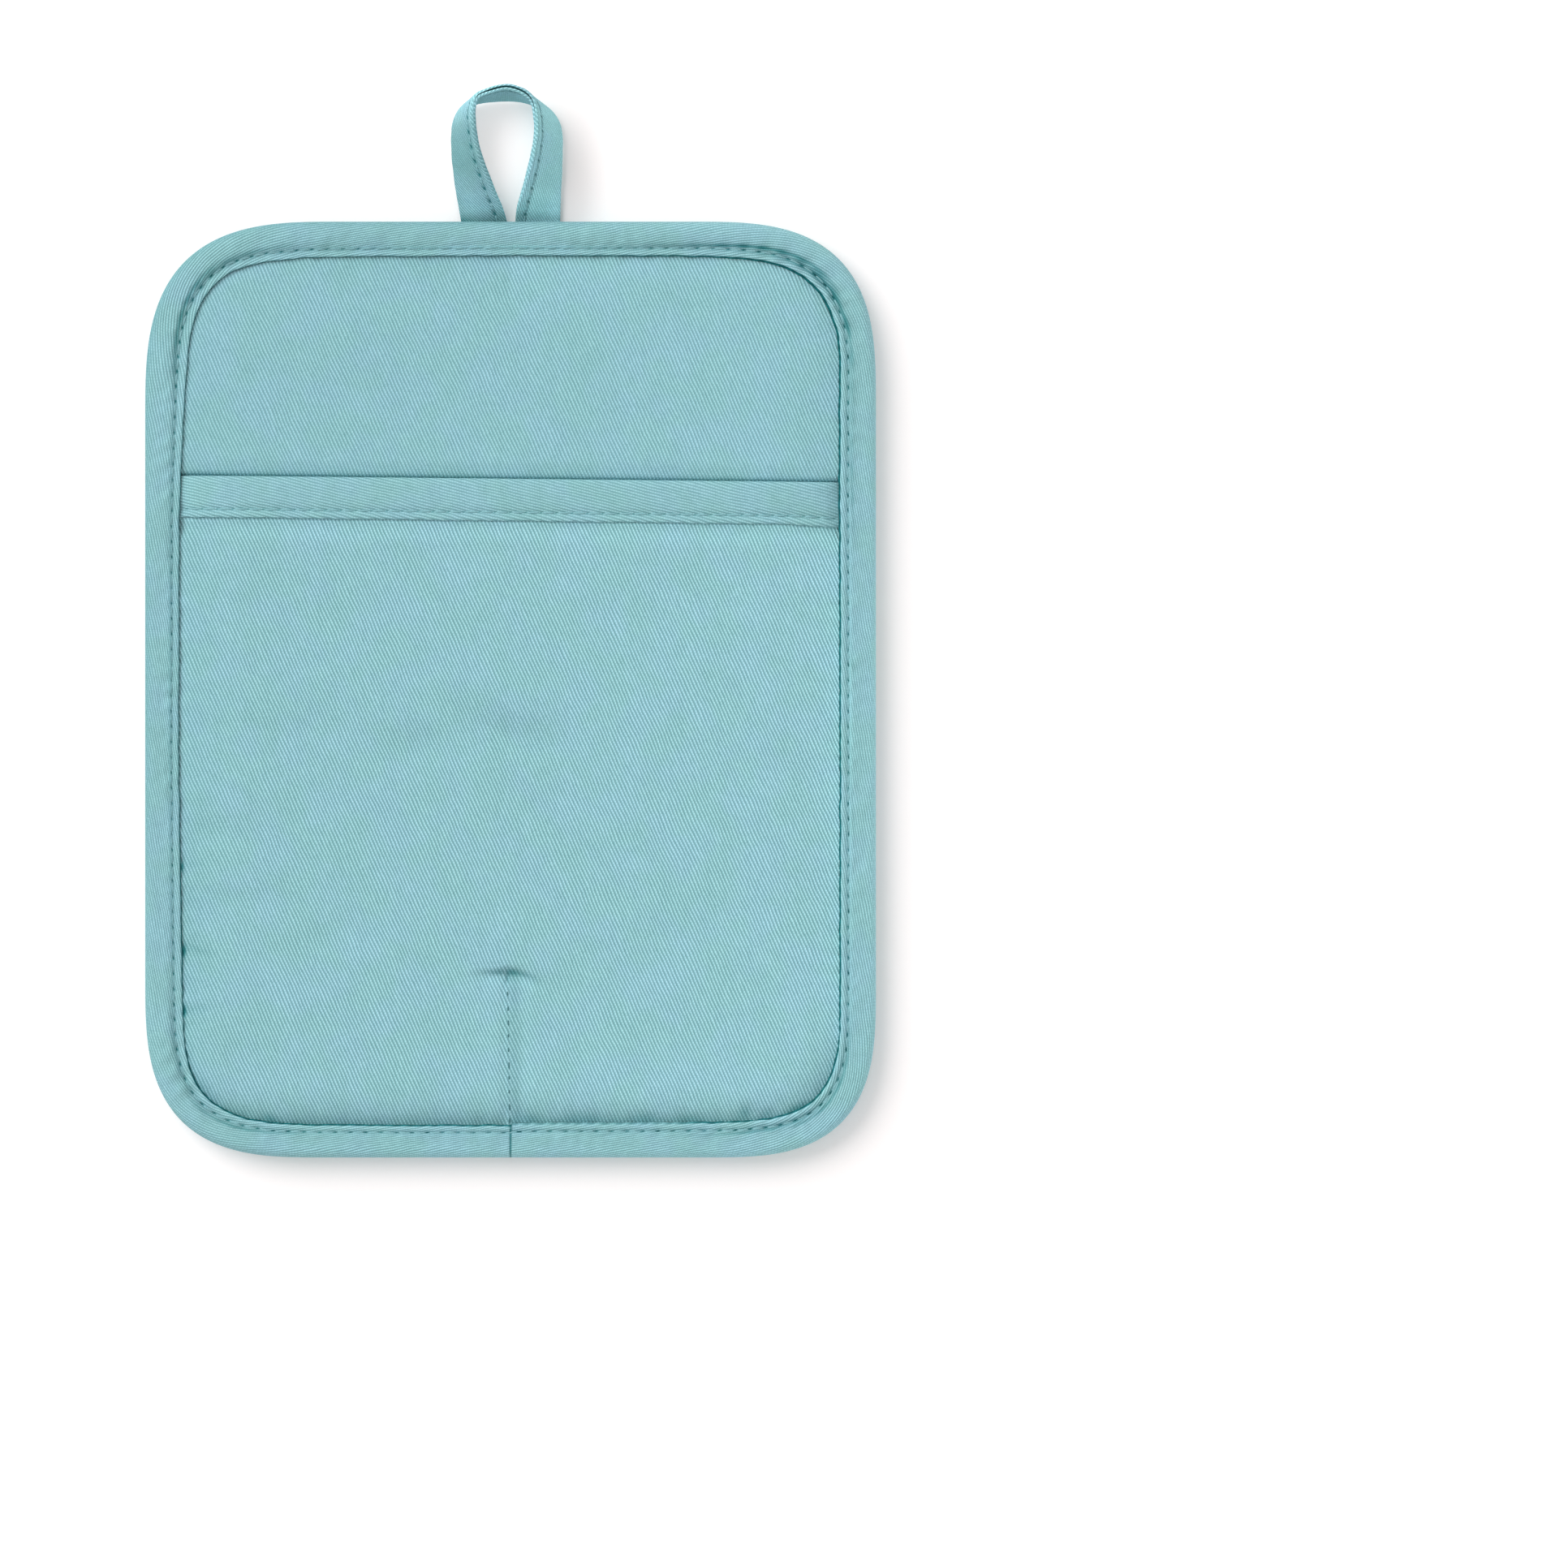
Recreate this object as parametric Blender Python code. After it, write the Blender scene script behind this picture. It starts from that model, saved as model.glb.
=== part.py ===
"""A rectangular padded pot holder, lying pocket side up on its ribbed silicone back.

The body is a padded twill panel with a patch pocket over its lower part and a ribbed
silicone sheet behind it. A tape binds all their edges, and a folded tape makes the
hanging loop. Every piece is a closed solid of its own, GAP away from its neighbours.

Metres, +Z up, +Y towards the hanging loop. Plan positions are measured from the middle
of the body and heights from the surface that the pot holder lies on. At the end
everything is shifted so that the whole object is centred on the origin.
"""
import math

import bmesh
import bpy
from mathutils import Vector

# Body outline: straight sides, with corners that follow a superellipse.
WIDTH = 0.178
LENGTH = 0.228
CORNER_POWER = 3.0
CORNER_SIZES = {
    (-1, 1): 0.047,
    (1, 1): 0.044,
    (-1, -1): 0.043,
    (1, -1): 0.041,
}
CORNER_SHRINK = 1.42  # loss of corner size for each unit that the outline moves in
DIAGONAL_GAIN = 0.12  # how much further a corner's middle lies from the rim
CORNER_STEPS = 8

GAP = 0.0003
CLOTH = 0.0010

# Edge binding: a tape folded over the rim, in section (inset from the rim, height).
LAYERS_INSET = 0.0019
BINDING_REACH = 0.0084
BACK_FLAP_TOP = 0.0011
FRONT_FLAP_UNDER = 0.0063
BINDING_SECTION = (
    # inset, height
    (BINDING_REACH, FRONT_FLAP_UNDER),
    (BINDING_REACH, 0.0070),
    (0.0081, 0.0073),
    (0.0072, 0.0073),
    (0.0066, 0.0069),
    (0.0059, 0.0074),
    (0.0046, 0.0083),
    (0.0032, 0.0086),
    (0.0017, 0.0082),
    (0.0006, 0.0070),
    (0.0000, 0.0050),
    (0.0001, 0.0033),
    (0.0009, 0.0013),
    (0.0021, 0.0003),
    (0.0033, 0.0000),
    (0.0052, 0.0000),
    (0.0061, 0.0002),
    (0.0066, 0.0005),
    (0.0071, 0.0002),
    (0.0081, 0.0001),
    (BINDING_REACH, 0.0003),
    (BINDING_REACH, BACK_FLAP_TOP),
    (LAYERS_INSET - GAP, BACK_FLAP_TOP),
    (LAYERS_INSET - GAP, FRONT_FLAP_UNDER),
)

DENT_FADE_HEIGHTS = (0.0013, 0.0050)  # a dent in the back fades between these heights

# Silicone back: ribs across the width, a groove at the middle of the length.
RIB_PITCH = 0.00705
RIB_HEIGHT = BACK_FLAP_TOP + GAP
OUTER_GROOVE = 14
GROOVE_PROFILE = (
    # distance from the groove's middle, height of the underside
    (0.00055, RIB_HEIGHT),
    (0.00100, 0.00055),
    (0.00220, 0.00000),
)
SILICONE_TOP = 0.0024
RIB_END_INSET = 0.0089
RIB_FULL_INSET = 0.0110

# Bare plate on the silicone back, in a recess two ribs wide.
PLATE_X = (-0.0679, -0.0210)
PLATE_Y = (-0.0906, -0.0785)
RECESS_X = (-0.0692, -0.0192)
RECESS_GROOVES = (-13, -11)
RECESS_FLOOR = RIB_HEIGHT + 0.00005
PLATE_ROOT = 0.0019
PLATE_BEVEL = 0.0004

# Padded body: drawn in at the rim, crowned inside it.
PAD_UNDERSIDE = SILICONE_TOP + GAP
OPEN_RIM_TOP = FRONT_FLAP_UNDER - GAP
POCKET_RIM_TOP = OPEN_RIM_TOP - CLOTH - GAP
OPEN_CROWN_TOP = 0.0082
POCKET_CROWN_TOP = 0.0079
RISE_INSET = 0.0089
RISE_RUN = 0.0220
RISE_POWER = 2.2

# Pocket mouth: a strip folded over the pocket's top edge, sloping slightly to the right.
MOUTH_Y = 0.0515
MOUTH_SLOPE = -0.0104
BAND_HEIGHT = 0.0105
BAND_WIDENING = 0.0020  # extra height of the band for each unit of x
BAND_END_INSET = BINDING_REACH + 0.0004
BAND_STITCH_Y = 0.0023
BAND_EDGE_ROUND = 0.0003
BAND_FOLD_ROUND = 0.0012
STITCH_HALF_WIDTH = 0.0007
CROWN_DIP = 0.0020
RIM_DIP = CLOTH + GAP
DIP_RAMP = 0.0040
DIP_BELOW = 0.0016
DIP_ABOVE = 0.0005
SLOPE_REACH = 0.0500

# Dart: the seam that pinches the pocket to the pad from the bottom upwards.
DART_TOP = (-0.0009, -0.0684)
DART_FOOT = (-0.0002, -0.1063)
DART_DEPTH = 0.0010
DART_SPREAD = 0.0016
DART_FADE = 0.0030

# Hanging loop: a folded tape, given by its outer and inner edges, left end to right end.
LOOP_THICKNESS = 0.0014
LOOP_EDGE_ROUND = 0.00045
LOOP_SUBSTEPS = 3
LOOP_LEVEL = LOOP_THICKNESS / 2
LOOP_TABLE = (
    # outer edge x, y above the body, z;   inner edge x, y above the body, z
    (-0.01190, -0.0080, 0.00070, -0.00075, -0.0080, 0.00070),
    (-0.01200, -0.0035, 0.00070, -0.00080, -0.0035, 0.00070),
    (-0.01210, -0.0006, 0.00070, -0.00085, -0.0006, 0.00070),
    (-0.01245, 0.0026, 0.00075, -0.00195, 0.0034, 0.00340),
    (-0.01290, 0.0064, 0.00080, -0.00340, 0.0066, 0.00600),
    (-0.01345, 0.0110, 0.00085, -0.00535, 0.0114, 0.00820),
    (-0.01380, 0.0165, 0.00090, -0.00750, 0.0169, 0.00980),
    (-0.01375, 0.0216, 0.00090, -0.00865, 0.0226, 0.01060),
    (-0.01290, 0.0258, 0.00085, -0.00890, 0.0270, 0.01100),
    (-0.01100, 0.0282, 0.00080, -0.00800, 0.0301, 0.01120),
    (-0.00650, 0.0296, 0.00075, -0.00500, 0.0319, 0.01130),
    (-0.00130, 0.0299, 0.00070, -0.00130, 0.0328, 0.01135),
    (0.00200, 0.0298, 0.00075, 0.00140, 0.0324, 0.01130),
    (0.00560, 0.0287, 0.00080, 0.00375, 0.0311, 0.01120),
    (0.00900, 0.0266, 0.00085, 0.00535, 0.0287, 0.01100),
    (0.01130, 0.0236, 0.00090, 0.00610, 0.0250, 0.01060),
    (0.01225, 0.0200, 0.00090, 0.00625, 0.0209, 0.01020),
    (0.01235, 0.0154, 0.00090, 0.00535, 0.0160, 0.00940),
    (0.01220, 0.0104, 0.00085, 0.00410, 0.0112, 0.00810),
    (0.01215, 0.0060, 0.00080, 0.00270, 0.0066, 0.00620),
    (0.01210, 0.0024, 0.00075, 0.00150, 0.0032, 0.00350),
    (0.01200, -0.0006, 0.00070, 0.00095, -0.0006, 0.00070),
    (0.01195, -0.0035, 0.00070, 0.00085, -0.0035, 0.00070),
    (0.01190, -0.0080, 0.00070, 0.00075, -0.0080, 0.00070),
)

# The loop's legs press the back of the binding in.
LOOP_DENT = LOOP_THICKNESS + GAP
DENT_FULL_X = 0.0126
DENT_END_X = 0.0166
DENT_FULL_INSET = 0.0090
DENT_END_INSET = 0.0150

# Grid lines of the sheets.
END_ROWS = (0.0, 0.0005, 0.0021, 0.0045, 0.0066, 0.0084, 0.0110, 0.0140, 0.0185, 0.0245, 0.0320, 0.0410)
PANEL_INSETS = (LAYERS_INSET, 0.0041, 0.0085, 0.0104, 0.0139, 0.0199)
DART_LINES = (-0.0250, -0.0080, -0.0032, -0.0014, -0.0004, 0.0006, 0.0024, 0.0072, 0.0250)
DENT_LINES = (-DENT_END_X, -DENT_FULL_X, DENT_FULL_X, DENT_END_X)
DART_ROWS = (-0.0697, -0.0684, -0.0662, -0.0620)
PLAIN_ROWS = (-0.0400, -0.0100, 0.0200)
OPEN_ROW = 0.0640
LEAST_STEP = 0.0010


def clamp(value):
    """Limit a value to the range from 0 to 1."""
    return max(0.0, min(1.0, value))


def sign(value):
    """Side of the middle that a value lies on."""
    return 1 if value >= 0 else -1


def side_reach(y, side, inset):
    """Distance from the middle to the outline, moved in by inset, at height y."""
    half_width = WIDTH / 2 - inset
    half_length = LENGTH / 2 - inset
    size = CORNER_SIZES[side, sign(y)] - CORNER_SHRINK * inset
    over = clamp((abs(y) - (half_length - size)) / size)
    return half_width - size + size * (1 - over ** CORNER_POWER) ** (1 / CORNER_POWER)


def rim_depth(x, y):
    """Distance of a point from the rim of the body."""
    size = CORNER_SIZES[sign(x), sign(y)]
    from_side = WIDTH / 2 - abs(x)
    from_end = LENGTH / 2 - abs(y)
    if from_side >= size or from_end >= size:
        return min(from_side, from_end)
    across = 1 - from_side / size
    along = 1 - from_end / size
    norm = (across ** CORNER_POWER + along ** CORNER_POWER) ** (1 / CORNER_POWER)
    balance = min(across, along) / max(across, along, LEAST_STEP)
    return size * (1 - norm) * (1 + DIAGONAL_GAIN * balance)


def mouth_line(x):
    """Height of the pocket's top edge, as bound, at x."""
    return MOUTH_Y + MOUTH_SLOPE * x


def band_height(x):
    """Height of the strip on the pocket's top edge at x."""
    return BAND_HEIGHT + BAND_WIDENING * x


def row_shift(x, y):
    """Lift of a grid row at x, so that rows near the pocket mouth run along it."""
    return MOUTH_SLOPE * x * clamp(1 - ((y - MOUTH_Y) / SLOPE_REACH) ** 2)


def rise(x, y):
    """Share of the crown reached at a point: 0 at the rim, 1 well inside it."""
    run = clamp((rim_depth(x, y) - RISE_INSET) / RISE_RUN)
    return 1 - (1 - run) ** RISE_POWER


def dip_share(x, y):
    """Share of the trough that the pad has under the folded strip."""
    over = y - mouth_line(x)
    below = clamp((over + BAND_HEIGHT + DIP_BELOW + DIP_RAMP) / DIP_RAMP)
    above = clamp((DIP_ABOVE + DIP_RAMP - over) / DIP_RAMP)
    return min(below, above)


def open_share(x, y):
    """0 where the pocket covers the pad, 1 above the pocket's mouth."""
    return clamp((y - mouth_line(x) - DIP_ABOVE) / DIP_RAMP)


def dart_groove(x, y):
    """Depth of the pinched seam at a point."""
    along = clamp((y - DART_TOP[1]) / (DART_FOOT[1] - DART_TOP[1]))
    middle = DART_TOP[0] + (DART_FOOT[0] - DART_TOP[0]) * along
    fade = clamp(1 - (y - DART_TOP[1]) / DART_FADE)
    return DART_DEPTH * fade * math.exp(-abs(x - middle) / DART_SPREAD) * clamp(2 * rise(x, y))


def loop_dent(x, y):
    """Lift of the back layers over the legs of the hanging loop."""
    if y < 0:
        return 0.0
    across = clamp((DENT_END_X - abs(x)) / (DENT_END_X - DENT_FULL_X))
    inward = clamp((DENT_END_INSET - rim_depth(x, y)) / (DENT_END_INSET - DENT_FULL_INSET))
    return LOOP_DENT * across * inward


def pad_top(x, y):
    """Height of the padded body's upper face."""
    crown = rise(x, y)
    covered = POCKET_RIM_TOP + (POCKET_CROWN_TOP - POCKET_RIM_TOP) * crown
    bare = OPEN_RIM_TOP + (OPEN_CROWN_TOP - OPEN_RIM_TOP) * crown
    dip = RIM_DIP + (CROWN_DIP - RIM_DIP) * crown
    level = covered + (bare - covered) * open_share(x, y)
    return level - dip * dip_share(x, y) - dart_groove(x, y)


def pad_underside(x, y):
    """Height of the padded body's lower face."""
    return PAD_UNDERSIDE + loop_dent(x, y)


def pocket_underside(x, y):
    """Height of the pocket panel's lower face, which clears the strip's rear leg."""
    return pad_top(x, y) + GAP + (CLOTH + GAP) * dip_share(x, y)


def pocket_top(x, y):
    """Height of the pocket panel's upper face."""
    return pocket_underside(x, y) + CLOTH


def silicone_top(x, y):
    """Height of the silicone sheet's flat inner face."""
    return SILICONE_TOP + loop_dent(x, y)


def silicone_underside(x, y):
    """Height of the ribbed face: ribs inside, a plain flange under the binding."""
    nearest = round(y / RIB_PITCH)
    nearest = max(-OUTER_GROOVE, min(OUTER_GROOVE, nearest))
    distance = abs(y - nearest * RIB_PITCH)
    level = RIB_HEIGHT
    for (start, high), (end, low) in zip(GROOVE_PROFILE, GROOVE_PROFILE[1:]):
        level += (low - high) * clamp((distance - start) / (end - start))
    inward = clamp((RIB_FULL_INSET - rim_depth(x, y)) / (RIB_FULL_INSET - RIB_END_INSET))
    return max(level, RIB_HEIGHT * inward) + loop_dent(x, y)


def row_of_x(y, insets, middles):
    """X of each point in a grid row: insets from both sides, and fixed lines between."""
    reaches = {}
    for side in (-1, 1):
        reach = side_reach(y, side, insets[0])
        reaches[side] = [reach]
        for inset in insets[1:]:
            reach = min(side_reach(y, side, inset), reach - LEAST_STEP)
            reaches[side].append(reach)
    left = [-reach for reach in reaches[-1]]
    right = list(reversed(reaches[1]))
    return left + list(middles) + right


def add_grid(mesh, rows, insets, middles, height):
    """Points of one face of a sheet, row by row."""
    grid = []
    for y in rows:
        line = []
        for x in row_of_x(y, insets, middles):
            shifted = y + row_shift(x, y)
            line.append(mesh.verts.new((x, shifted, height(x, shifted))))
        grid.append(line)
    return grid


def add_cells(mesh, grid):
    """Fill a grid of points with four-sided faces."""
    for lower, upper in zip(grid, grid[1:]):
        for column in range(len(lower) - 1):
            mesh.faces.new((lower[column], lower[column + 1], upper[column + 1], upper[column]))


def finish_object(name, mesh, material, smooth_angle=40.0):
    """Turn a bmesh into a named object with outward faces."""
    bmesh.ops.recalc_face_normals(mesh, faces=mesh.faces)
    data = bpy.data.meshes.new(name)
    mesh.to_mesh(data)
    mesh.free()
    data.materials.append(material)
    data.shade_smooth()
    data.set_sharp_from_angle(angle=math.radians(smooth_angle))
    item = bpy.data.objects.new(name, data)
    bpy.context.scene.collection.objects.link(item)
    return item


def make_sheet(name, material, rows, upper, lower):
    """A closed sheet between two faces, each given as insets, middle lines and height."""
    mesh = bmesh.new()
    top = add_grid(mesh, rows, *upper)
    base = add_grid(mesh, rows, *lower)
    add_cells(mesh, top)
    add_cells(mesh, base)
    for index in range(len(rows) - 1):
        for end in (0, -1):
            wall = (top[index][end], top[index + 1][end], base[index + 1][end], base[index][end])
            mesh.faces.new(wall)
    for index in (0, -1):
        mesh.faces.new(top[index] + list(reversed(base[index])))
    return finish_object(name, mesh, material)


def material(name, color, roughness):
    """A plain non-metallic material."""
    item = bpy.data.materials.new(name)
    item.use_nodes = True
    shader = item.node_tree.nodes["Principled BSDF"]
    shader.inputs["Base Color"].default_value = (*color, 1.0)
    shader.inputs["Roughness"].default_value = roughness
    shader.inputs["Metallic"].default_value = 0.0
    return item


def band_rows():
    """Rows through the trough under the folded strip, below the pocket's top edge."""
    foot = MOUTH_Y - BAND_HEIGHT - DIP_BELOW
    return [foot - DIP_RAMP, foot - DIP_RAMP / 2, foot, foot + DIP_BELOW, MOUTH_Y - BAND_HEIGHT / 2]


def lower_rows():
    """Rows from the bottom edge up to the folded strip."""
    end = LENGTH / 2 - LAYERS_INSET
    rows = [-end + offset for offset in END_ROWS]
    return rows + list(DART_ROWS) + list(PLAIN_ROWS) + band_rows()


def make_padded_body():
    """The twill front panel and its filling, as one crowned pad."""
    end = LENGTH / 2 - LAYERS_INSET
    rows = lower_rows()
    ramp = MOUTH_Y + DIP_ABOVE
    rows += [ramp, ramp + DIP_RAMP / 2, ramp + DIP_RAMP, OPEN_ROW]
    rows += [end - offset for offset in reversed(END_ROWS)]
    color = material("panel twill", (0.29, 0.55, 0.59), 0.85)
    upper = (PANEL_INSETS, DART_LINES, pad_top)
    lower = ((LAYERS_INSET,), DENT_LINES, pad_underside)
    return make_sheet("padded_body", color, rows, upper, lower)


def make_pocket_panel():
    """The patch pocket over the lower part, open at its top edge."""
    rows = lower_rows()
    rows.append(MOUTH_Y - CLOTH - GAP)
    color = material("pocket twill", (0.29, 0.55, 0.59), 0.85)
    upper = (PANEL_INSETS, DART_LINES, pocket_top)
    lower = (PANEL_INSETS, DART_LINES, pocket_underside)
    return make_sheet("pocket_panel", color, rows, upper, lower)


def band_section(x):
    """Section of the folded strip at x, from its front lower edge round to the rear."""
    top = mouth_line(x)
    foot = top - band_height(x)
    stitch = foot + BAND_STITCH_Y
    inner = top - CLOTH
    shoulder = top - BAND_FOLD_ROUND
    crease = top - BAND_EDGE_ROUND
    edge = CLOTH - BAND_EDGE_ROUND
    turn = CLOTH / 2 - BAND_EDGE_ROUND / 2

    def front(y):
        return pocket_top(x, min(y, inner - GAP)) + GAP

    def rear(y):
        return pocket_underside(x, min(y, inner - GAP)) - GAP

    return (
        (foot, front(foot)),
        (foot, front(foot) + edge),
        (foot + BAND_EDGE_ROUND, front(foot) + CLOTH),
        (stitch - STITCH_HALF_WIDTH, front(stitch) + CLOTH),
        (stitch, front(stitch) + edge),
        (stitch + STITCH_HALF_WIDTH, front(stitch) + CLOTH),
        (shoulder, front(shoulder) + CLOTH),
        (crease, front(shoulder) + turn),
        (top, (front(inner) + rear(inner)) / 2),
        (crease, rear(shoulder) - turn),
        (shoulder, rear(shoulder) - CLOTH),
        (foot, rear(foot) - CLOTH),
        (foot, rear(foot)),
        (inner, rear(inner)),
        (inner, front(inner)),
    )


def loft(name, sections, surface, closed):
    """Join sections of equal length into one solid, as a ring or with flat ends."""
    mesh = bmesh.new()
    rings = [[mesh.verts.new(point) for point in section] for section in sections]
    following = rings[1:] + (rings[:1] if closed else [])
    for ring, after in zip(rings, following):
        for index in range(len(ring)):
            turn = (index + 1) % len(ring)
            mesh.faces.new((ring[index], ring[turn], after[turn], after[index]))
    if not closed:
        mesh.faces.new(rings[0])
        mesh.faces.new(list(reversed(rings[-1])))
    return finish_object(name, mesh, surface)


def make_pocket_band():
    """The strip folded over the pocket's top edge, between the binding's two sides."""
    insets = (BAND_END_INSET,) + PANEL_INSETS[3:]
    stations = row_of_x(MOUTH_Y - BAND_HEIGHT, insets, DART_LINES[:1] + DART_LINES[-1:])
    sections = [[(x, y, z) for y, z in band_section(x)] for x in stations]
    color = material("pocket band twill", (0.28, 0.54, 0.57), 0.85)
    return loft("pocket_band", sections, color, closed=False)


def outline(inset):
    """Points of the outline moved in by inset, clockwise from the top left corner."""
    half_width = WIDTH / 2 - inset
    half_length = LENGTH / 2 - inset
    points = []
    stops = {(-1, 1): DENT_LINES, (1, 1): (), (1, -1): (0.0,), (-1, -1): ()}
    for side, end in ((-1, 1), (1, 1), (1, -1), (-1, -1)):
        size = CORNER_SIZES[side, end] - CORNER_SHRINK * inset
        from_side = side == end
        for step in range(CORNER_STEPS + 1):
            share = step / CORNER_STEPS
            angle = math.radians(90 * (1 - share if from_side else share))
            across = abs(math.cos(angle)) ** (2 / CORNER_POWER)
            along = abs(math.sin(angle)) ** (2 / CORNER_POWER)
            x = side * (half_width - size + size * across)
            y = end * (half_length - size + size * along)
            points.append((x, y))
        for x in stops[side, end]:
            points.append((x, end * half_length))
    return points


def make_edge_binding():
    """The tape folded over the rim of all layers, with a stitch groove on both faces."""
    contours = [outline(inset) for inset, height in BINDING_SECTION]
    full, none = DENT_FADE_HEIGHTS
    sections = []
    for station in range(len(contours[0])):
        section = []
        for contour, (inset, height) in zip(contours, BINDING_SECTION):
            x, y = contour[station]
            share = clamp((none - height) / (none - full))
            section.append((x, y, height + loop_dent(x, y) * share))
        sections.append(section)
    color = material("binding twill", (0.28, 0.54, 0.57), 0.85)
    return loft("edge_binding", sections, color, closed=True)


def spline(before, start, end, after, share):
    """Point on a smooth curve through start and end."""
    square = share * share
    cube = square * share
    return 0.5 * (
        2 * start
        + (end - before) * share
        + (2 * before - 5 * start + 4 * end - after) * square
        + (3 * start - before - 3 * end + after) * cube
    )


def loop_edges():
    """Outer and inner edge of the hanging loop at each station along it."""
    rows = []
    for row in LOOP_TABLE:
        outer = Vector((row[0], LENGTH / 2 + row[1], row[2]))
        inner = Vector((row[3], LENGTH / 2 + row[4], row[5]))
        rows.append((outer, inner))
    padded = [rows[0]] + rows + [rows[-1]]
    stations = []
    for index in range(len(rows) - 1):
        span = padded[index:index + 4]
        for step in range(LOOP_SUBSTEPS):
            share = step / LOOP_SUBSTEPS
            pair = []
            for edge in (0, 1):
                point = spline(*[row[edge] for row in span], share)
                point.z = max(point.z, LOOP_LEVEL)
                pair.append(point)
            stations.append(pair)
    stations.append(list(rows[-1]))
    return stations


def make_hanging_loop():
    """The folded tape that leaves the back of the binding, twists up and comes back."""
    stations = loop_edges()
    middles = [(outer + inner) / 2 for outer, inner in stations]
    half = LOOP_THICKNESS / 2
    lip = half - LOOP_EDGE_ROUND
    sections = []
    for index, (outer, inner) in enumerate(stations):
        ahead = middles[min(index + 1, len(middles) - 1)]
        behind = middles[max(index - 1, 0)]
        width = (inner - outer).normalized()
        length = (inner - outer).length
        face = (ahead - behind).cross(width).normalized()
        profile = (
            (0.0, lip),
            (LOOP_EDGE_ROUND, half),
            (length - LOOP_EDGE_ROUND, half),
            (length, lip),
            (length, -lip),
            (length - LOOP_EDGE_ROUND, -half),
            (LOOP_EDGE_ROUND, -half),
            (0.0, -lip),
        )
        sections.append([outer + width * across + face * through for across, through in profile])
    color = material("loop twill", (0.26, 0.51, 0.54), 0.85)
    return loft("hanging_loop", sections, color, closed=False)


def box_between(name, x_range, y_range, z_range):
    """A box given by its lowest and highest x, y and z."""
    mesh = bmesh.new()
    bmesh.ops.create_cube(mesh, size=1.0)
    for vert in mesh.verts:
        vert.co.x = x_range[vert.co.x > 0]
        vert.co.y = y_range[vert.co.y > 0]
        vert.co.z = z_range[vert.co.z > 0]
    data = bpy.data.meshes.new(name)
    mesh.to_mesh(data)
    mesh.free()
    item = bpy.data.objects.new(name, data)
    item.hide_render = True
    item.display_type = "WIRE"
    bpy.context.scene.collection.objects.link(item)
    return item


def boolean(target, tool, operation):
    """Cut a solid with another, or join them."""
    change = target.modifiers.new(operation.lower(), "BOOLEAN")
    change.operation = operation
    change.object = tool
    change.solver = "EXACT"


def silicone_rows():
    """Rows of the ribbed sheet: close together through each groove."""
    end = LENGTH / 2 - LAYERS_INSET
    margin = [end - offset for offset in END_ROWS[:5]]
    margin += [LENGTH / 2 - RIB_END_INSET, LENGTH / 2 - RIB_FULL_INSET]
    rows = list(margin)
    for groove in range(OUTER_GROOVE, -OUTER_GROOVE - 1, -1):
        middle = groove * RIB_PITCH
        rows += [middle + offset for offset, height in reversed(GROOVE_PROFILE)]
        rows += [middle - offset for offset, height in GROOVE_PROFILE]
    rows += [-y for y in reversed(margin)]
    return list(reversed(rows))


def make_silicone_back():
    """The ribbed silicone sheet, with the bare plate in its recess."""
    color = material("silicone", (0.32, 0.60, 0.64), 0.5)
    upper = ((LAYERS_INSET,), DENT_LINES, silicone_top)
    lower = ((LAYERS_INSET, RIB_END_INSET, RIB_FULL_INSET), DENT_LINES, silicone_underside)
    back = make_sheet("silicone_back", color, silicone_rows(), upper, lower)
    recess_y = [groove * RIB_PITCH for groove in RECESS_GROOVES]
    recess = box_between("recess_cutter", RECESS_X, recess_y, (-PLATE_ROOT, RECESS_FLOOR))
    plate = box_between("plate_tool", PLATE_X, PLATE_Y, (0.0, PLATE_ROOT))
    edges = plate.modifiers.new("edges", "BEVEL")
    edges.width = PLATE_BEVEL
    edges.segments = 2
    boolean(back, recess, "DIFFERENCE")
    boolean(back, plate, "UNION")
    return back, recess, plate


def stand_on_origin(pieces, helpers):
    """Shift everything so that the object is centred on the origin, its lowest point at 0."""
    corners = [Vector(corner) for piece in pieces for corner in piece.bound_box]
    low = Vector(min(corner[axis] for corner in corners) for axis in range(3))
    high = Vector(max(corner[axis] for corner in corners) for axis in range(3))
    holder = bpy.data.objects.new("pot_holder", None)
    holder.location = (-(low.x + high.x) / 2, -(low.y + high.y) / 2, -low.z)
    bpy.context.scene.collection.objects.link(holder)
    for item in list(pieces) + list(helpers):
        item.parent = holder


def build():
    """Make the whole pot holder."""
    for item in list(bpy.data.objects):
        bpy.data.objects.remove(item, do_unlink=True)
    silicone, recess, plate = make_silicone_back()
    pieces = [
        silicone,
        make_padded_body(),
        make_pocket_panel(),
        make_pocket_band(),
        make_edge_binding(),
        make_hanging_loop(),
    ]
    stand_on_origin(pieces, (recess, plate))


build()
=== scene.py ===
"""Looks of a padded pot holder: twill pocket side up, bound edge, ribbed silicone back.

Plan positions are measured from the middle of the body, +Y towards the hanging loop, and
heights from the floor. Lengths are metres, except in tables that say mm. The weave map
holds millimetres along and across the cloth.
"""
import math

import bpy
import numpy as np
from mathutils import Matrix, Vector, kdtree


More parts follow.
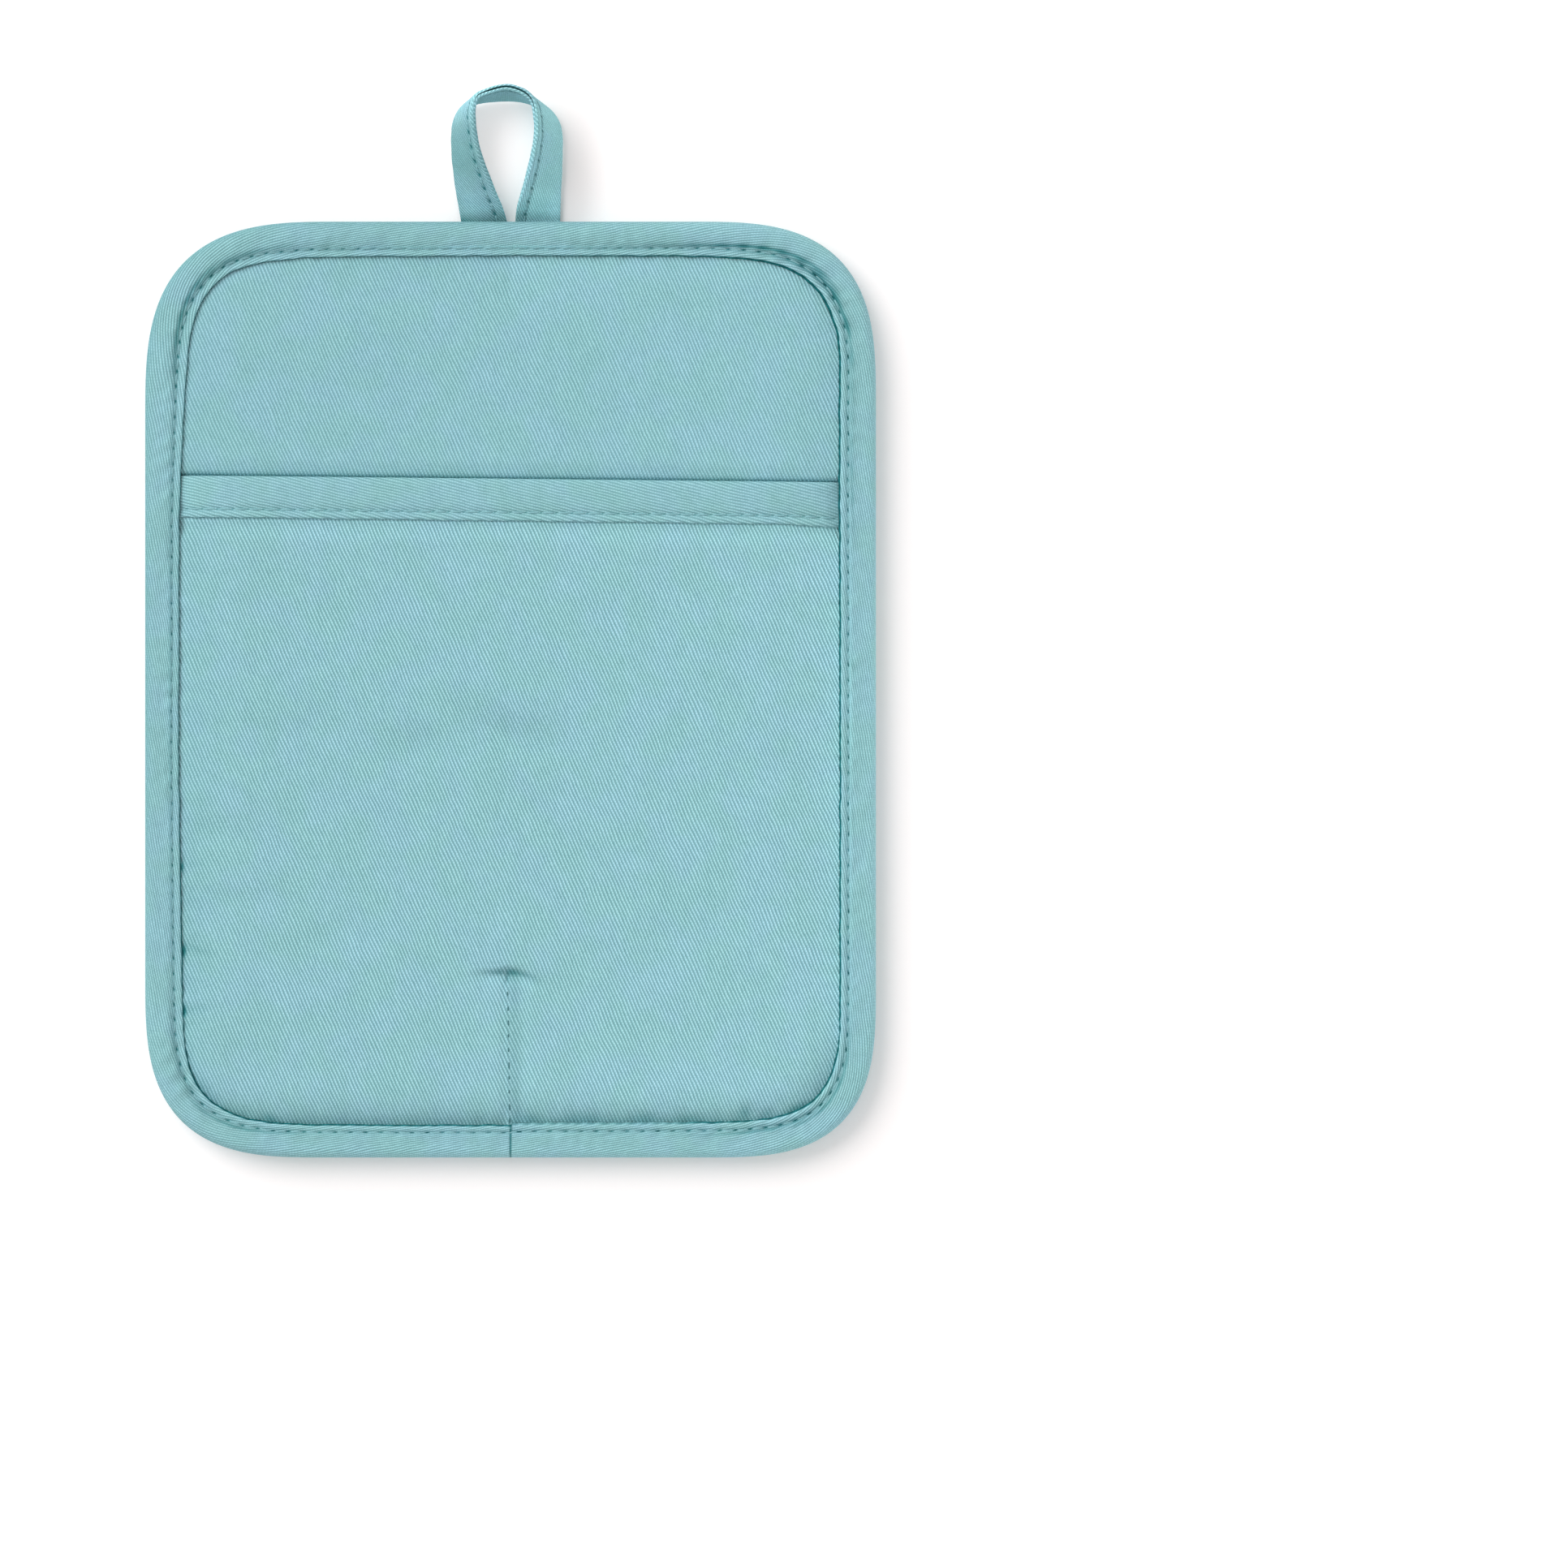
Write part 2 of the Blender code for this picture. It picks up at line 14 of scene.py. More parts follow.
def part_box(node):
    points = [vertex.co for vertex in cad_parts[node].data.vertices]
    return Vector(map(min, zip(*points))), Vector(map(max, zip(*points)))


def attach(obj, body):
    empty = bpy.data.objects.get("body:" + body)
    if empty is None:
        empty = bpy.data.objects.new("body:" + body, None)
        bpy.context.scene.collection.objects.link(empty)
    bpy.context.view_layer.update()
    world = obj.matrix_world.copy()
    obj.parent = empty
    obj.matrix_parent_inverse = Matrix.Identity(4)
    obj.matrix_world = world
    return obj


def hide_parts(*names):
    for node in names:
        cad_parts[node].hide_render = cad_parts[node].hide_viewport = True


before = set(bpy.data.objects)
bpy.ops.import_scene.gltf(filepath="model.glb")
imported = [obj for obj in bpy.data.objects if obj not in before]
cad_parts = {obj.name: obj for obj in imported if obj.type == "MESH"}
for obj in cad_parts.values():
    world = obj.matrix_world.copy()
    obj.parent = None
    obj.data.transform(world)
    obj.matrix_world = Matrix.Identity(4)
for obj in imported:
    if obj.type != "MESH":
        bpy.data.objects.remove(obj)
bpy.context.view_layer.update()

MM = 0.001
TURN = 2 * math.pi
BINDING_LOW, BINDING_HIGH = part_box("edge_binding")
CENTRE_X = (BINDING_LOW.x + BINDING_HIGH.x) / 2
CENTRE_Y = (BINDING_LOW.y + BINDING_HIGH.y) / 2
WIDTH = BINDING_HIGH.x - BINDING_LOW.x
LENGTH = BINDING_HIGH.y - BINDING_LOW.y
WEAVE = "weave"
# Point attribute of painted shade that darkens the base colour; below 0 it is painted light.
SHADE = "shade"

# Outline of the body: superellipse corners, clockwise from the top left, between straight sides.
CORNER_POWER = 3.0
CORNER_SIZES = {(-1, 1): 0.047, (1, 1): 0.044, (1, -1): 0.041, (-1, -1): 0.043}
CORNER_SHRINK = 1.42  # how fast they get smaller with the inset
DIAGONAL_GAIN = 0.12

# Layers, and the binding that closes over their rim.
GAP = 0.0003
CLOTH = 0.0010
LAYERS_INSET = 0.0019
BINDING_REACH = 0.0084
FLAP_UNDER = 0.0063

# Padded body and pocket.
PAD_UNDERSIDE = 0.0027
OPEN_RIM_TOP = FLAP_UNDER - GAP
POCKET_RIM_TOP = OPEN_RIM_TOP - CLOTH - GAP
OPEN_CROWN_TOP = 0.0082
POCKET_CROWN_TOP = 0.0079
RISE_RUN = 0.0220
RISE_POWER = 2.6
END_RUN = 0.0120  # the pocket fills out faster above the lower seam
END_START = -0.060
END_BLEND = 0.030
MOUTH_Y = 0.05126
MOUTH_SLOPE = -0.0104
MOUTH_STEP = 0.0022  # over which the pad rises from the pocket to the open panel
SLOPE_REACH = 0.0500  # how far from the mouth the grid's rows still slope with it
BAND_HEIGHT = 0.01026
BAND_WIDENING = 0.0020
BAND_FLARE = 0.0006  # of the strip's right end
FLARE_START = 0.0660
FLARE_RUN = 0.0140
CROWN_DIP = 0.0020
RIM_DIP = CLOTH + GAP
DIP_RAMP = 0.0040
DIP_BELOW = 0.0016
DIP_ABOVE = 0.0005
FINE_WAVES = 0.00006
PUCKER_DEPTH = 0.00010
PUCKER_REACH = 0.0030

# Dart at the middle of the pocket's lower edge.
DART_TOP = (-0.0009, -0.0684)
DART_FOOT = (-0.0002, -0.1063)
DART_FADE = 0.0016
DART_ARCH = 0.0068
TUCK_Y = -0.0708

# Silicone ribs.
RIB_PITCH = 0.00705
RIB_HEIGHT = 0.0014
OUTER_GROOVE = 14
SILICONE_TOP = 0.0024
PLATE_X = (-0.0679, -0.0210)
PLATE_Y = (-0.0906, -0.0785)
RECESS_X = (-0.0692, -0.0192)
RECESS_Y = (-13 * RIB_PITCH, -11 * RIB_PITCH)

# Hanging loop, and the dent that its legs make in the back layers.
LOOP_THICKNESS = 0.0014
LOOP_LEVEL = LOOP_THICKNESS / 2
LOOP_DENT = LOOP_THICKNESS + GAP
DENT_FULL_X = 0.0126
DENT_END_X = 0.0166
DENT_FULL_INSET = 0.0090
DENT_END_INSET = 0.0150

# Sewing.
STITCH_PITCH = 0.00375
STITCH_RADIUS = 0.00024
STITCH_INSET = 0.0066
STITCH_STEPS = 8  # points along one stitch
THREAD_SIDES = 8
# Height of a thread above the cloth along one stitch: it sinks in at both ends.
THREAD_ARCH = 0.00013 - 0.00030 * np.abs(np.linspace(-1, 1, STITCH_STEPS)) ** 3
PER_STITCH = 6  # sections of a sewn piece for each stitch


def clamp(value):
    """Limit values to the range from 0 to 1."""
    return np.clip(value, 0.0, 1.0)


def ease(value):
    """Smooth step from 0 to 1."""
    share = clamp(value)
    return share * share * (3 - 2 * share)


def blend(low, high, share):
    """Value between low and high."""
    return low + (high - low) * share


def bell(value, middle, width):
    """Soft bump of height 1 round the middle."""
    return np.exp(-((value - middle) / width) ** 2)


def unit(vectors):
    """Vectors scaled to a length of 1."""
    return vectors / np.linalg.norm(vectors, axis=-1, keepdims=True)


def path_lengths(points):
    """Length along a path up to each of its points."""
    return np.append(0.0, np.cumsum(np.linalg.norm(np.diff(points, axis=0), axis=1)))


def girth(section, closing):
    """Length round a closed section up to each of its points, and back to the first."""
    path = path_lengths(section)
    return np.append(path, path[-1] + closing)


def corner_size(x, y):
    """Size of the corner on the side of the middle where each x, y is."""
    left = np.where(y < 0, CORNER_SIZES[-1, -1], CORNER_SIZES[-1, 1])
    right = np.where(y < 0, CORNER_SIZES[1, -1], CORNER_SIZES[1, 1])
    return np.where(x < 0, left, right)


def side_reach(y, side, inset):
    """Distance from the middle to the outline, moved in by inset, at height y."""
    size = corner_size(side, y) - CORNER_SHRINK * inset
    over = clamp((np.abs(y) - (LENGTH / 2 - inset - size)) / size)
    return WIDTH / 2 - inset - size + size * (1 - over ** CORNER_POWER) ** (1 / CORNER_POWER)


def rim_depth(x, y):
    """Distance of points from the rim of the body."""
    size = corner_size(x, y)
    from_side = WIDTH / 2 - np.abs(x)
    from_end = LENGTH / 2 - np.abs(y)
    across = clamp(1 - from_side / size)
    along = clamp(1 - from_end / size)
    norm = (across ** CORNER_POWER + along ** CORNER_POWER) ** (1 / CORNER_POWER)
    balance = np.minimum(across, along) / np.maximum(np.maximum(across, along), 0.001)
    corner = size * (1 - norm) * (1 + DIAGONAL_GAIN * balance)
    straight = np.minimum(from_side, from_end)
    return np.where((from_side >= size) | (from_end >= size), straight, corner)


def outline_at(turns, inset):
    """Points of the outline moved in by inset. Turns run clockwise from 0 to 8: a corner,
    then the side after it, from the top left corner's lower end."""
    half = np.array([WIDTH / 2 - inset, LENGTH / 2 - inset])
    turns = np.mod(turns, 8.0)
    part = np.floor(turns / 2).astype(int)
    share = turns - 2 * part
    bend = np.minimum(share, 1.0) * math.pi / 2
    corners = list(CORNER_SIZES)
    points = np.zeros((2, len(turns)))
    for index, corner in enumerate(corners):
        following = corners[(index + 1) % 4]
        size = CORNER_SIZES[corner] - CORNER_SHRINK * inset
        next_size = CORNER_SIZES[following] - CORNER_SHRINK * inset
        here = np.array(corner)
        there = np.array(following)
        angle = bend if corner[0] == -corner[1] else math.pi / 2 - bend
        way = np.stack([np.cos(angle), np.sin(angle)])
        radius = size / (way ** CORNER_POWER).sum(0) ** (1 / CORNER_POWER)
        curve = here[:, None] * ((half - size)[:, None] + radius * way)
        start = here * (half - size * (here != there))
        stop = there * (half - next_size * (here != there))
        straight = blend(start[:, None], stop[:, None], clamp(share - 1.0))
        points = np.where(part == index, np.where(share < 1, curve, straight), points)
    return points


def even_turns(count, inset):
    """Turns and places of count points evenly along the outline at inset, and its length."""
    fine = np.linspace(0.0, 8.0, 12001)
    run = path_lengths(outline_at(fine, inset).T)
    places = np.arange(count) * run[-1] / count
    return np.interp(places, run, fine), places, run[-1]


def mouth_line(x):
    """Height of the bound pocket's top edge."""
    return MOUTH_Y + MOUTH_SLOPE * x


def band_foot(x):
    """Height of the folded strip's lower edge."""
    flare = BAND_FLARE * ease((x - FLARE_START) / FLARE_RUN)
    return mouth_line(x) - BAND_HEIGHT - BAND_WIDENING * x - flare


def rise(x, y):
    """Share of the crown reached: 0 at the rim, 1 well inside it."""
    run = blend(RISE_RUN, END_RUN, ease((END_START - y) / END_BLEND))
    return 1 - (1 - clamp((rim_depth(x, y) - BINDING_REACH) / run)) ** RISE_POWER


def dip_share(x, y):
    """Share of the trough that the pad has under the folded strip."""
    over = y - mouth_line(x)
    below = ease((over + BAND_HEIGHT + DIP_BELOW + DIP_RAMP) / DIP_RAMP)
    above = ease((DIP_ABOVE + DIP_RAMP - over) / (DIP_RAMP + 0.0010))
    return np.minimum(below, above)


def dart_share(y):
    """How far down the dart each height is."""
    return clamp((y - DART_TOP[1]) / (DART_FOOT[1] - DART_TOP[1]))


def dart_line(y):
    """Where the dart's seam crosses each height."""
    return blend(DART_TOP[0], DART_FOOT[0], dart_share(y) ** 0.5)


def dart_groove(x, y):
    """Depth of the pinched seam and of the short crease across its top."""
    fade = ease(1 - (y - DART_TOP[1]) / DART_FADE)
    off = x - dart_line(y)
    seam = 0.00050 * np.exp(-np.abs(off) / np.where(off < 0, 0.0006, 0.0020))
    trough = 0.00042 * blend(0.45, 1.0, dart_share(y)) * bell(off, 0.0022, 0.0028)
    ridge = 0.00022 * bell(off, -0.0026, 0.0024)
    span = (x - DART_TOP[0]) / DART_ARCH
    below = DART_TOP[1] - 0.0009 * (1 + np.where(span > 0, 1.7, 0.35) * span ** 2) - y
    side = np.exp(-np.abs(span - 0.15) ** 2.4)
    across = 0.00125 * side * bell(below, 0, np.where(below > 0, 0.0019, 0.0011))
    tuck = 0.00050 * bell(off, 0.25 * (y - TUCK_Y) - 0.0002, 0.0004) * bell(y, TUCK_Y, 0.0016)
    return ((seam + trough - ridge) * fade + across + tuck) * clamp(2 * rise(x, y))


# Soft folds of the pocket and panel, in mm: middle x, y, direction in degrees, half length,
# half width, depth. A negative depth is a ridge.
SOFT_FOLDS = (
    (2.5, -10.6, -14, 12, 3.6, 0.65), (-23.5, -13, -12, 8, 3, 0.35), (-45, -60.3, 10, 10, 4, 0.3),
    (-6, -20, 4, 26, 6, -0.25), (-79, -43, 8, 4, 1.1, 0.3), (-78.5, -63.6, -14, 4.5, 1.1, 0.4),
    (-78, -78.2, 8, 4, 1.1, 0.35), (-70, -33, 6, 16, 3.5, 0.4), (-73, -49, -8, 13, 3, 0.35),
    (70, -20, -10, 14, 4.5, 0.35), (42, 22, 20, 20, 8, 0.25), (-42, 16, -14, 22, 8, 0.25),
    (38, -62, 30, 18, 7, 0.25), (-38, -74, -35, 16, 6, 0.25), (16, -93, -70, 12, 4, 0.2),
    (-15, -95, 75, 12, 4, 0.2), (-35, 76, 12, 23, 8, 0.2), (45, 84, -15, 20, 7, 0.2),
)
# Painted shade of folds, dents and gathers, laid out like the folds, with a darkening in place of the
# depth; below 0 it is painted light.
POCKET_PAINTED_SHADE = (
    (1.5, -9.2, -14, 11, 3.6, 0.075), (-24, -13, -12, 8, 3.4, 0.045), (-56, -7.8, 0, 18, 2.8, 0.03),
    (-69, -33.5, -4, 14, 2.4, 0.045), (-68.5, -50.2, 3, 11.5, 2.4, 0.055),
    (0, -3.8, -8, 16, 3, 0.032), (-19, -9.8, -12, 6, 2.2, 0.03), (2, -68.6, -8, 11, 2.4, 0.05),
    (45, -99.8, 0, 40, 6.5, -0.045), (-40, -99.8, 0, 35, 6.5, -0.025),
    (-80.2, -43.2, 90, 1.3, 0.6, 0.65), (-79.7, -63.8, 90, 1.5, 0.6, 0.75),
    (-79.6, -78.4, 90, 1.5, 0.6, 0.75), (-77, -42.5, 12, 4.5, 1.1, 0.06),
    (-76.5, -63.2, -14, 5, 1.2, 0.11), (-76.2, -77.8, 8, 4.5, 1.2, 0.09),
    (5.8, -104.2, 0, 2.6, 1.4, 0.08), (19.6, -104, 0, 5.5, 1.7, 0.09),
    (33.4, -104.2, 0, 3, 1.6, 0.14), (45, -104.4, 0, 2.6, 1.6, 0.16),
    (56.9, -102.7, 60, 2.5, 1.9, 0.3), (62.5, -103, 60, 1.8, 1.4, 0.25),
    (69.9, -101.8, 25, 3.4, 1, 0.3), (-58.2, -104.6, -30, 2.2, 1.2, 0.22),
)
# Painted shade on the open panel, laid out the same way.
PANEL_PAINTED_SHADE = ((-29, 74, 0, 9, 4, 0.025), (45, 98, 0, 40, 7, 0.03))


def spread(spots, x, y):
    """Sum of soft oblong spots at each x, y."""
    result = np.zeros(np.shape(x))
    for middle_x, middle_y, direction, half_length, half_width, value in spots:
        angle = math.radians(direction)
        right = x / MM - middle_x
        up = y / MM - middle_y
        along = right * math.cos(angle) + up * math.sin(angle)
        across = up * math.cos(angle) - right * math.sin(angle)
        result += value * bell(along, 0, half_length) * bell(across, 0, half_width)
    return result


def gentle_waves(x, y, seed):
    """Uneven waves of about 1, without any repeat that shows."""
    generator = np.random.default_rng(seed)
    total = np.zeros(np.shape(x))
    for _ in range(7):
        angle = generator.uniform(0, math.pi)
        length = generator.uniform(0.014, 0.050)
        phase = generator.uniform(0, TURN)
        total += np.sin(TURN * (x * math.cos(angle) + y * math.sin(angle)) / length + phase)
    return total / 3.5


class RimMap:
    """Place along the rim of the nearest point of the outline."""

    def __init__(self):
        self.turns, self.places, self.total = even_turns(1500, 0.0)
        self.tree = kdtree.KDTree(len(self.turns))
        for index, point in enumerate(outline_at(self.turns, 0.0).T):
            self.tree.insert((*point, 0.0), index)
        self.tree.balance()

    def place(self, x, y):
        """Length along the rim to the point nearest to each x, y."""
        found = [self.tree.find((px, py, 0.0))[1] for px, py in zip(np.ravel(x), np.ravel(y))]
        return self.places[np.array(found)].reshape(np.shape(x))


RIM = RimMap()


def round_the_rim(turns, values):
    """Blend of eight values for the top left corner, the top side and so on clockwise."""
    return np.interp(turns, np.arange(-0.5, 9.0), (values[-1], *values, values[0]))


def uneven_sine(place, length, seed):
    """Ripple along a closed rim, about 1 high, whose wave length wanders."""
    generator = np.random.default_rng(seed)
    turn = TURN * place / RIM.total
    wander = np.zeros(np.shape(place))
    swell = np.zeros(np.shape(place))
    for order in range(3, 16):
        phase, other = generator.uniform(0, TURN, 2)
        wander += generator.uniform(0.5, 1.5) * np.sin(order * turn + phase)
        swell += generator.uniform(0.1, 0.35) * np.sin(1.7 * order * turn + other)
    return np.sin(round(RIM.total / length) * turn + wander) * (1 + clamp(swell))


def seam_puckers(x, y, seed):
    """Small gathers of the cloth where it goes under the binding."""
    depth = rim_depth(x, y)
    place = RIM.place(x, y)
    gathers = uneven_sine(place, 0.0046, seed) + 0.7 * uneven_sine(place, 0.0105, seed + 1)
    fade = np.exp(-np.maximum(depth - BINDING_REACH, 0.0) / PUCKER_REACH)
    return PUCKER_DEPTH * gathers * fade * clamp((depth - 0.0060) / 0.0030)


def pad_top(x, y):
    """Height of the padded body's upper face."""
    crown = rise(x, y)
    over = y - mouth_line(x)
    covered = blend(POCKET_RIM_TOP, POCKET_CROWN_TOP, crown)
    bare = blend(OPEN_RIM_TOP, OPEN_CROWN_TOP, crown)
    dip = blend(RIM_DIP, CROWN_DIP, crown) * dip_share(x, y)
    shallow = 1 - 0.62 * ease((over + 0.0008) / 0.0012)
    level = blend(covered, bare, ease((over + 0.0010) / MOUTH_STEP))
    folds = (MM * spread(SOFT_FOLDS, x, y) - FINE_WAVES * gentle_waves(x, y, 5)) * crown
    return level - dip * shallow - dart_groove(x, y) - folds


def loop_dent(x, y):
    """Lift of the back layers over the legs of the hanging loop."""
    across = ease((DENT_END_X - np.abs(x)) / (DENT_END_X - DENT_FULL_X))
    inward = ease((DENT_END_INSET - rim_depth(x, y)) / (DENT_END_INSET - DENT_FULL_INSET))
    return LOOP_DENT * across * inward * (y > 0)


# Meshes --------------------


def quads(grid):
    """Four-sided faces of a grid of point numbers, over its last two axes."""
    corners = (grid[..., :-1, :-1], grid[..., :-1, 1:], grid[..., 1:, 1:], grid[..., 1:, :-1])
    return np.stack(corners, -1).reshape(-1, 4)


def corner_map(along, around):
    """Weave map of each corner of a grid's faces, from the places of its rows and columns."""
    faces = quads(np.arange(len(along) * len(around)).reshape(len(along), -1))
    rows, columns = np.divmod(faces, len(around))
    return np.stack([np.asarray(along)[rows], np.asarray(around)[columns]], -1)


def linked(name, data):
    """A new object in the scene."""
    item = bpy.data.objects.new(name, data)
    bpy.context.scene.collection.objects.link(item)
    return item


def new_object(name, points, faces, surface, uv, shade=None):
    """A smooth-shaded object riding on the body, with its weave map and painted shade values.

    faces is a list of arrays, each for faces with one number of corners."""
    material, slot = SURFACES[surface]
    data = bpy.data.meshes.new(name)
    placed = np.asarray(points).reshape(-1, 3) + (CENTRE_X, CENTRE_Y, 0.0)
    data.from_pydata(placed.tolist(), [], [face for block in faces for face in block.tolist()])
    data.materials.append(material)
    layer = data.uv_layers.new(name=WEAVE)
    layer.data.foreach_set("uv", (uv / MM).astype(np.float32).ravel())
    if shade is not None:
        values = data.attributes.new(SHADE, "FLOAT", "POINT")
        values.data.foreach_set("value", shade.astype(np.float32).ravel())
    data.shade_smooth()
    data.set_sharp_from_angle(angle=math.radians(60.0))
    item = linked(name, data)
    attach(item, "root")
    return item


def sheet_object(name, top, base, surface, shade=None):
    """A closed sheet between two grids of points, rows along +Y and columns along +X."""
    count = top[..., 0].size
    upper = np.arange(count).reshape(top.shape[:2])
    lower = upper + count
    faces = [quads(upper), quads(lower)[:, ::-1]]
    for near, far in (
        (upper[:, 0], lower[:, 0]),
        (lower[:, -1], upper[:, -1]),
        (lower[0], upper[0]),
        (upper[-1], lower[-1]),
    ):
        faces.append(quads(np.stack([near, far])))
    faces = np.concatenate(faces)
    points = np.concatenate([top.reshape(-1, 3), base.reshape(-1, 3)])
    if shade is not None:
        shade = np.append(shade.ravel(), np.zeros(count))
    return new_object(name, points, [faces], surface, points[faces.ravel(), :2], shade)


def loft_object(name, rings, along, around, surface, closed, shade):
    """A solid from rings of points; along and around give the weave map of their edges."""
    count, size = rings.shape[:2]
    numbers = np.arange(count * size).reshape(count, size)
    grid = np.concatenate([numbers, numbers[:, :1]], 1)
    if closed:
        grid = np.concatenate([grid, grid[:1]])
    faces = [quads(grid)]
    uv = corner_map(along, around).reshape(-1, 2)
    if not closed:
        faces += [numbers[:1, ::-1], numbers[-1:]]
        first = np.stack([np.full(size, along[0]), around[-2::-1]], -1)
        last = np.stack([np.full(size, along[-1]), around[:-1]], -1)
        uv = np.concatenate([uv, first, last])
    return new_object(name, rings, faces, surface, uv, shade)


def thread_object(name, paths, surface, normals=(0.0, 0.0, 1.0), radius=STITCH_RADIUS):
    """Stitches as one mesh: a rounded length of thread along each path of points."""
    stitches, steps = paths.shape[:2]
    out = unit(np.broadcast_to(normals, paths.shape))
    across = unit(np.cross(np.gradient(paths, axis=1), out))
    thick = radius * (0.35 + 0.65 * np.sqrt(1 - np.linspace(-1, 1, steps) ** 6))[:, None, None]
    turn = (np.arange(THREAD_SIDES) * TURN / THREAD_SIDES)[:, None]
    rim = np.cos(turn) * across[:, :, None] + 0.8 * np.sin(turn) * out[:, :, None]
    points = paths[:, :, None] + thick * rim
    numbers = np.arange(stitches * steps * THREAD_SIDES).reshape(stitches, steps, THREAD_SIDES)
    ring = np.concatenate([numbers, numbers[:, :, :1]], 2)
    faces = [quads(ring)[:, ::-1], numbers[:, 0], numbers[:, -1, ::-1]]
    along = np.arange(steps) * STITCH_PITCH / steps
    wall = corner_map(along, np.arange(THREAD_SIDES + 1) * radius)[:, ::-1]
    caps = np.zeros((2 * stitches * THREAD_SIDES, 2))
    uv = np.concatenate([np.tile(wall, (stitches, 1, 1)).reshape(-1, 2), caps])
    return new_object(name, points, faces, surface, uv)


def stitch_places(numbers, pitch, margin=0.08):
    """Places of the points along each numbered stitch, one after the other."""
    share = np.linspace(margin, 1 - margin, STITCH_STEPS)
    return ((numbers[:, None] + share) * pitch).ravel()


def marks(low, high, step, zones=()):
    """Positions from low to high, step apart, or closer inside zones (low, high, step)."""
    fine = np.linspace(low, high, 20001)
    spacing = np.full(fine.shape, step)
    for start, end, small in zones:
        away = np.maximum(0, np.maximum(start - fine, fine - end))
        spacing = np.minimum(spacing, small + 0.25 * away)
    density = np.append(0.0, np.cumsum((fine[1] - fine[0]) / spacing[:-1]))
    count = math.ceil(density[-1])
    return np.interp(np.linspace(0, density[-1], count + 1), density, fine)


def plan_grid(columns, rows, shifted=True):
    """Grid of x and y that fills the outline of the inner layers."""
    pivot = 0.034
    y = np.repeat(rows[:, None], len(columns), 1)
    beyond = (np.abs(columns) - pivot) / (WIDTH / 2 - LAYERS_INSET - pivot)
    left = side_reach(rows, -1, LAYERS_INSET)[:, None]
    right = side_reach(rows, 1, LAYERS_INSET)[:, None]
    outer = np.sign(columns) * blend(pivot, np.where(columns < 0, left, right), beyond)
    x = np.where(np.abs(columns) < pivot, columns, outer)
    if shifted:
        # Rows near the pocket's mouth run along it.
        y = y + MOUTH_SLOPE * x * clamp(1 - ((y - MOUTH_Y) / SLOPE_REACH) ** 2)
    return x, y


# Materials --------------------

WEAVE_RED_POWER = 1.33
SHADE_RED_POWER = 1.8
FLOAT_LENGTH = 0.62  # of the twill's beads, in mm
FLOAT_SHIFT = 2.2  # from one wale to the next, in radians
COOL = (1.03, 1.00, 1.06)
WARM = (0.99, 1.00, 0.99)


class Material:
    """A material with a Principled shader, and the means to wire it up."""

    def __init__(self, name):
        self.item = bpy.data.materials.new(name)
        self.item.use_nodes = True
        self.tree = self.item.node_tree
        self.shader = self.tree.nodes["Principled BSDF"]

    def put(self, node, inputs):
        """Set or link inputs of a node: values or sockets by name or number."""
        for key, value in inputs.items():
            if isinstance(value, bpy.types.NodeSocket):
                self.tree.links.new(value, node.inputs[key])
            else:
                node.inputs[key].default_value = value

    def node(self, kind, inputs, output=0, **settings):
        """Output of a new shader node."""
        item = self.tree.nodes.new("ShaderNode" + kind)
        for key, value in settings.items():
            setattr(item, key, value)
        self.put(item, inputs)
        return item.outputs[output]

    def math(self, operation, *values):
        """Result of a math node."""
        return self.node("Math", dict(enumerate(values)), operation=operation)

    def vector(self, operation, *values):
        """Result of a vector math node."""
        return self.node("VectorMath", dict(enumerate(values)), operation=operation)

    def total(self, *values):
        """Sum of several values."""
        result = values[0]
        for value in values[1:]:
            result = self.math("ADD", result, value)
        return result

    def times(self, first, second):
        """Product of two values."""
        return self.math("MULTIPLY", first, second)

    def joined(self, *values):
        """Vector of two or three values."""
        return self.node("CombineXYZ", dict(enumerate(values)))

    def parts(self, vector):
        """First and second value of a vector."""
        return [self.node("SeparateXYZ", {0: vector}, index) for index in range(2)]

    def mixed(self, share, first, second):
        """Colour between two colours."""
        return self.node("Mix", {0: share, 6: first, 7: second}, 2, data_type="RGBA")

    def weave(self):
        """Place in the weave map."""
        return self.node("UVMap", {}, uv_map=WEAVE)

    def noise(self, vector, scale, detail, rough=0.5):
        """A noise texture's value, about 0.5 on average."""
        inputs = {"Vector": vector, "Scale": scale, "Detail": detail, "Roughness": rough}
        return self.node("TexNoise", inputs, "Fac")

    def swing(self, value, amount):
        """Shift a 0 to 1 value to the middle and scale it to plus and minus amount."""
        return self.math("MULTIPLY_ADD", value, 2 * amount, -amount)

    def ripple(self, angle):
        """Sine of an angle, from 0 to 1."""
        return self.math("MULTIPLY_ADD", self.math("SINE", angle), 0.5, 0.5)

    def relief(self, height, depth):
        """Bumps of a depth in mm."""
        inputs = {"Strength": 1.0, "Distance": depth * MM, "Height": height}
        self.put(self.shader, {"Normal": self.node("Bump", inputs)})

    def tint(self, color, factor):
        """Colour the surface, darkened by the painted shade attribute and lightened where it is below
        0; dark spots of the factor and of the painted shade lose more red.
        """
        shade = self.node("Attribute", {}, "Fac", attribute_name=SHADE)
        light = self.math("SUBTRACT", 1.0, shade)
        level = self.times(factor, light)
        power = self.math("MULTIPLY_ADD", self.math("MAXIMUM", shade, 0.0), SHADE_RED_POWER, 1.0)
        weave_red = self.math("POWER", factor, WEAVE_RED_POWER)
        red = self.times(weave_red, self.math("POWER", light, power))
        tinted = self.vector("MULTIPLY", color, self.joined(red, level, level))
        self.put(self.shader, {"Base Color": tinted})

    def finish(self, roughness, specular):
        """Set the gloss, and give the material."""
        self.put(self.shader, {"Roughness": roughness, "Specular IOR Level": specular})
        return self.item


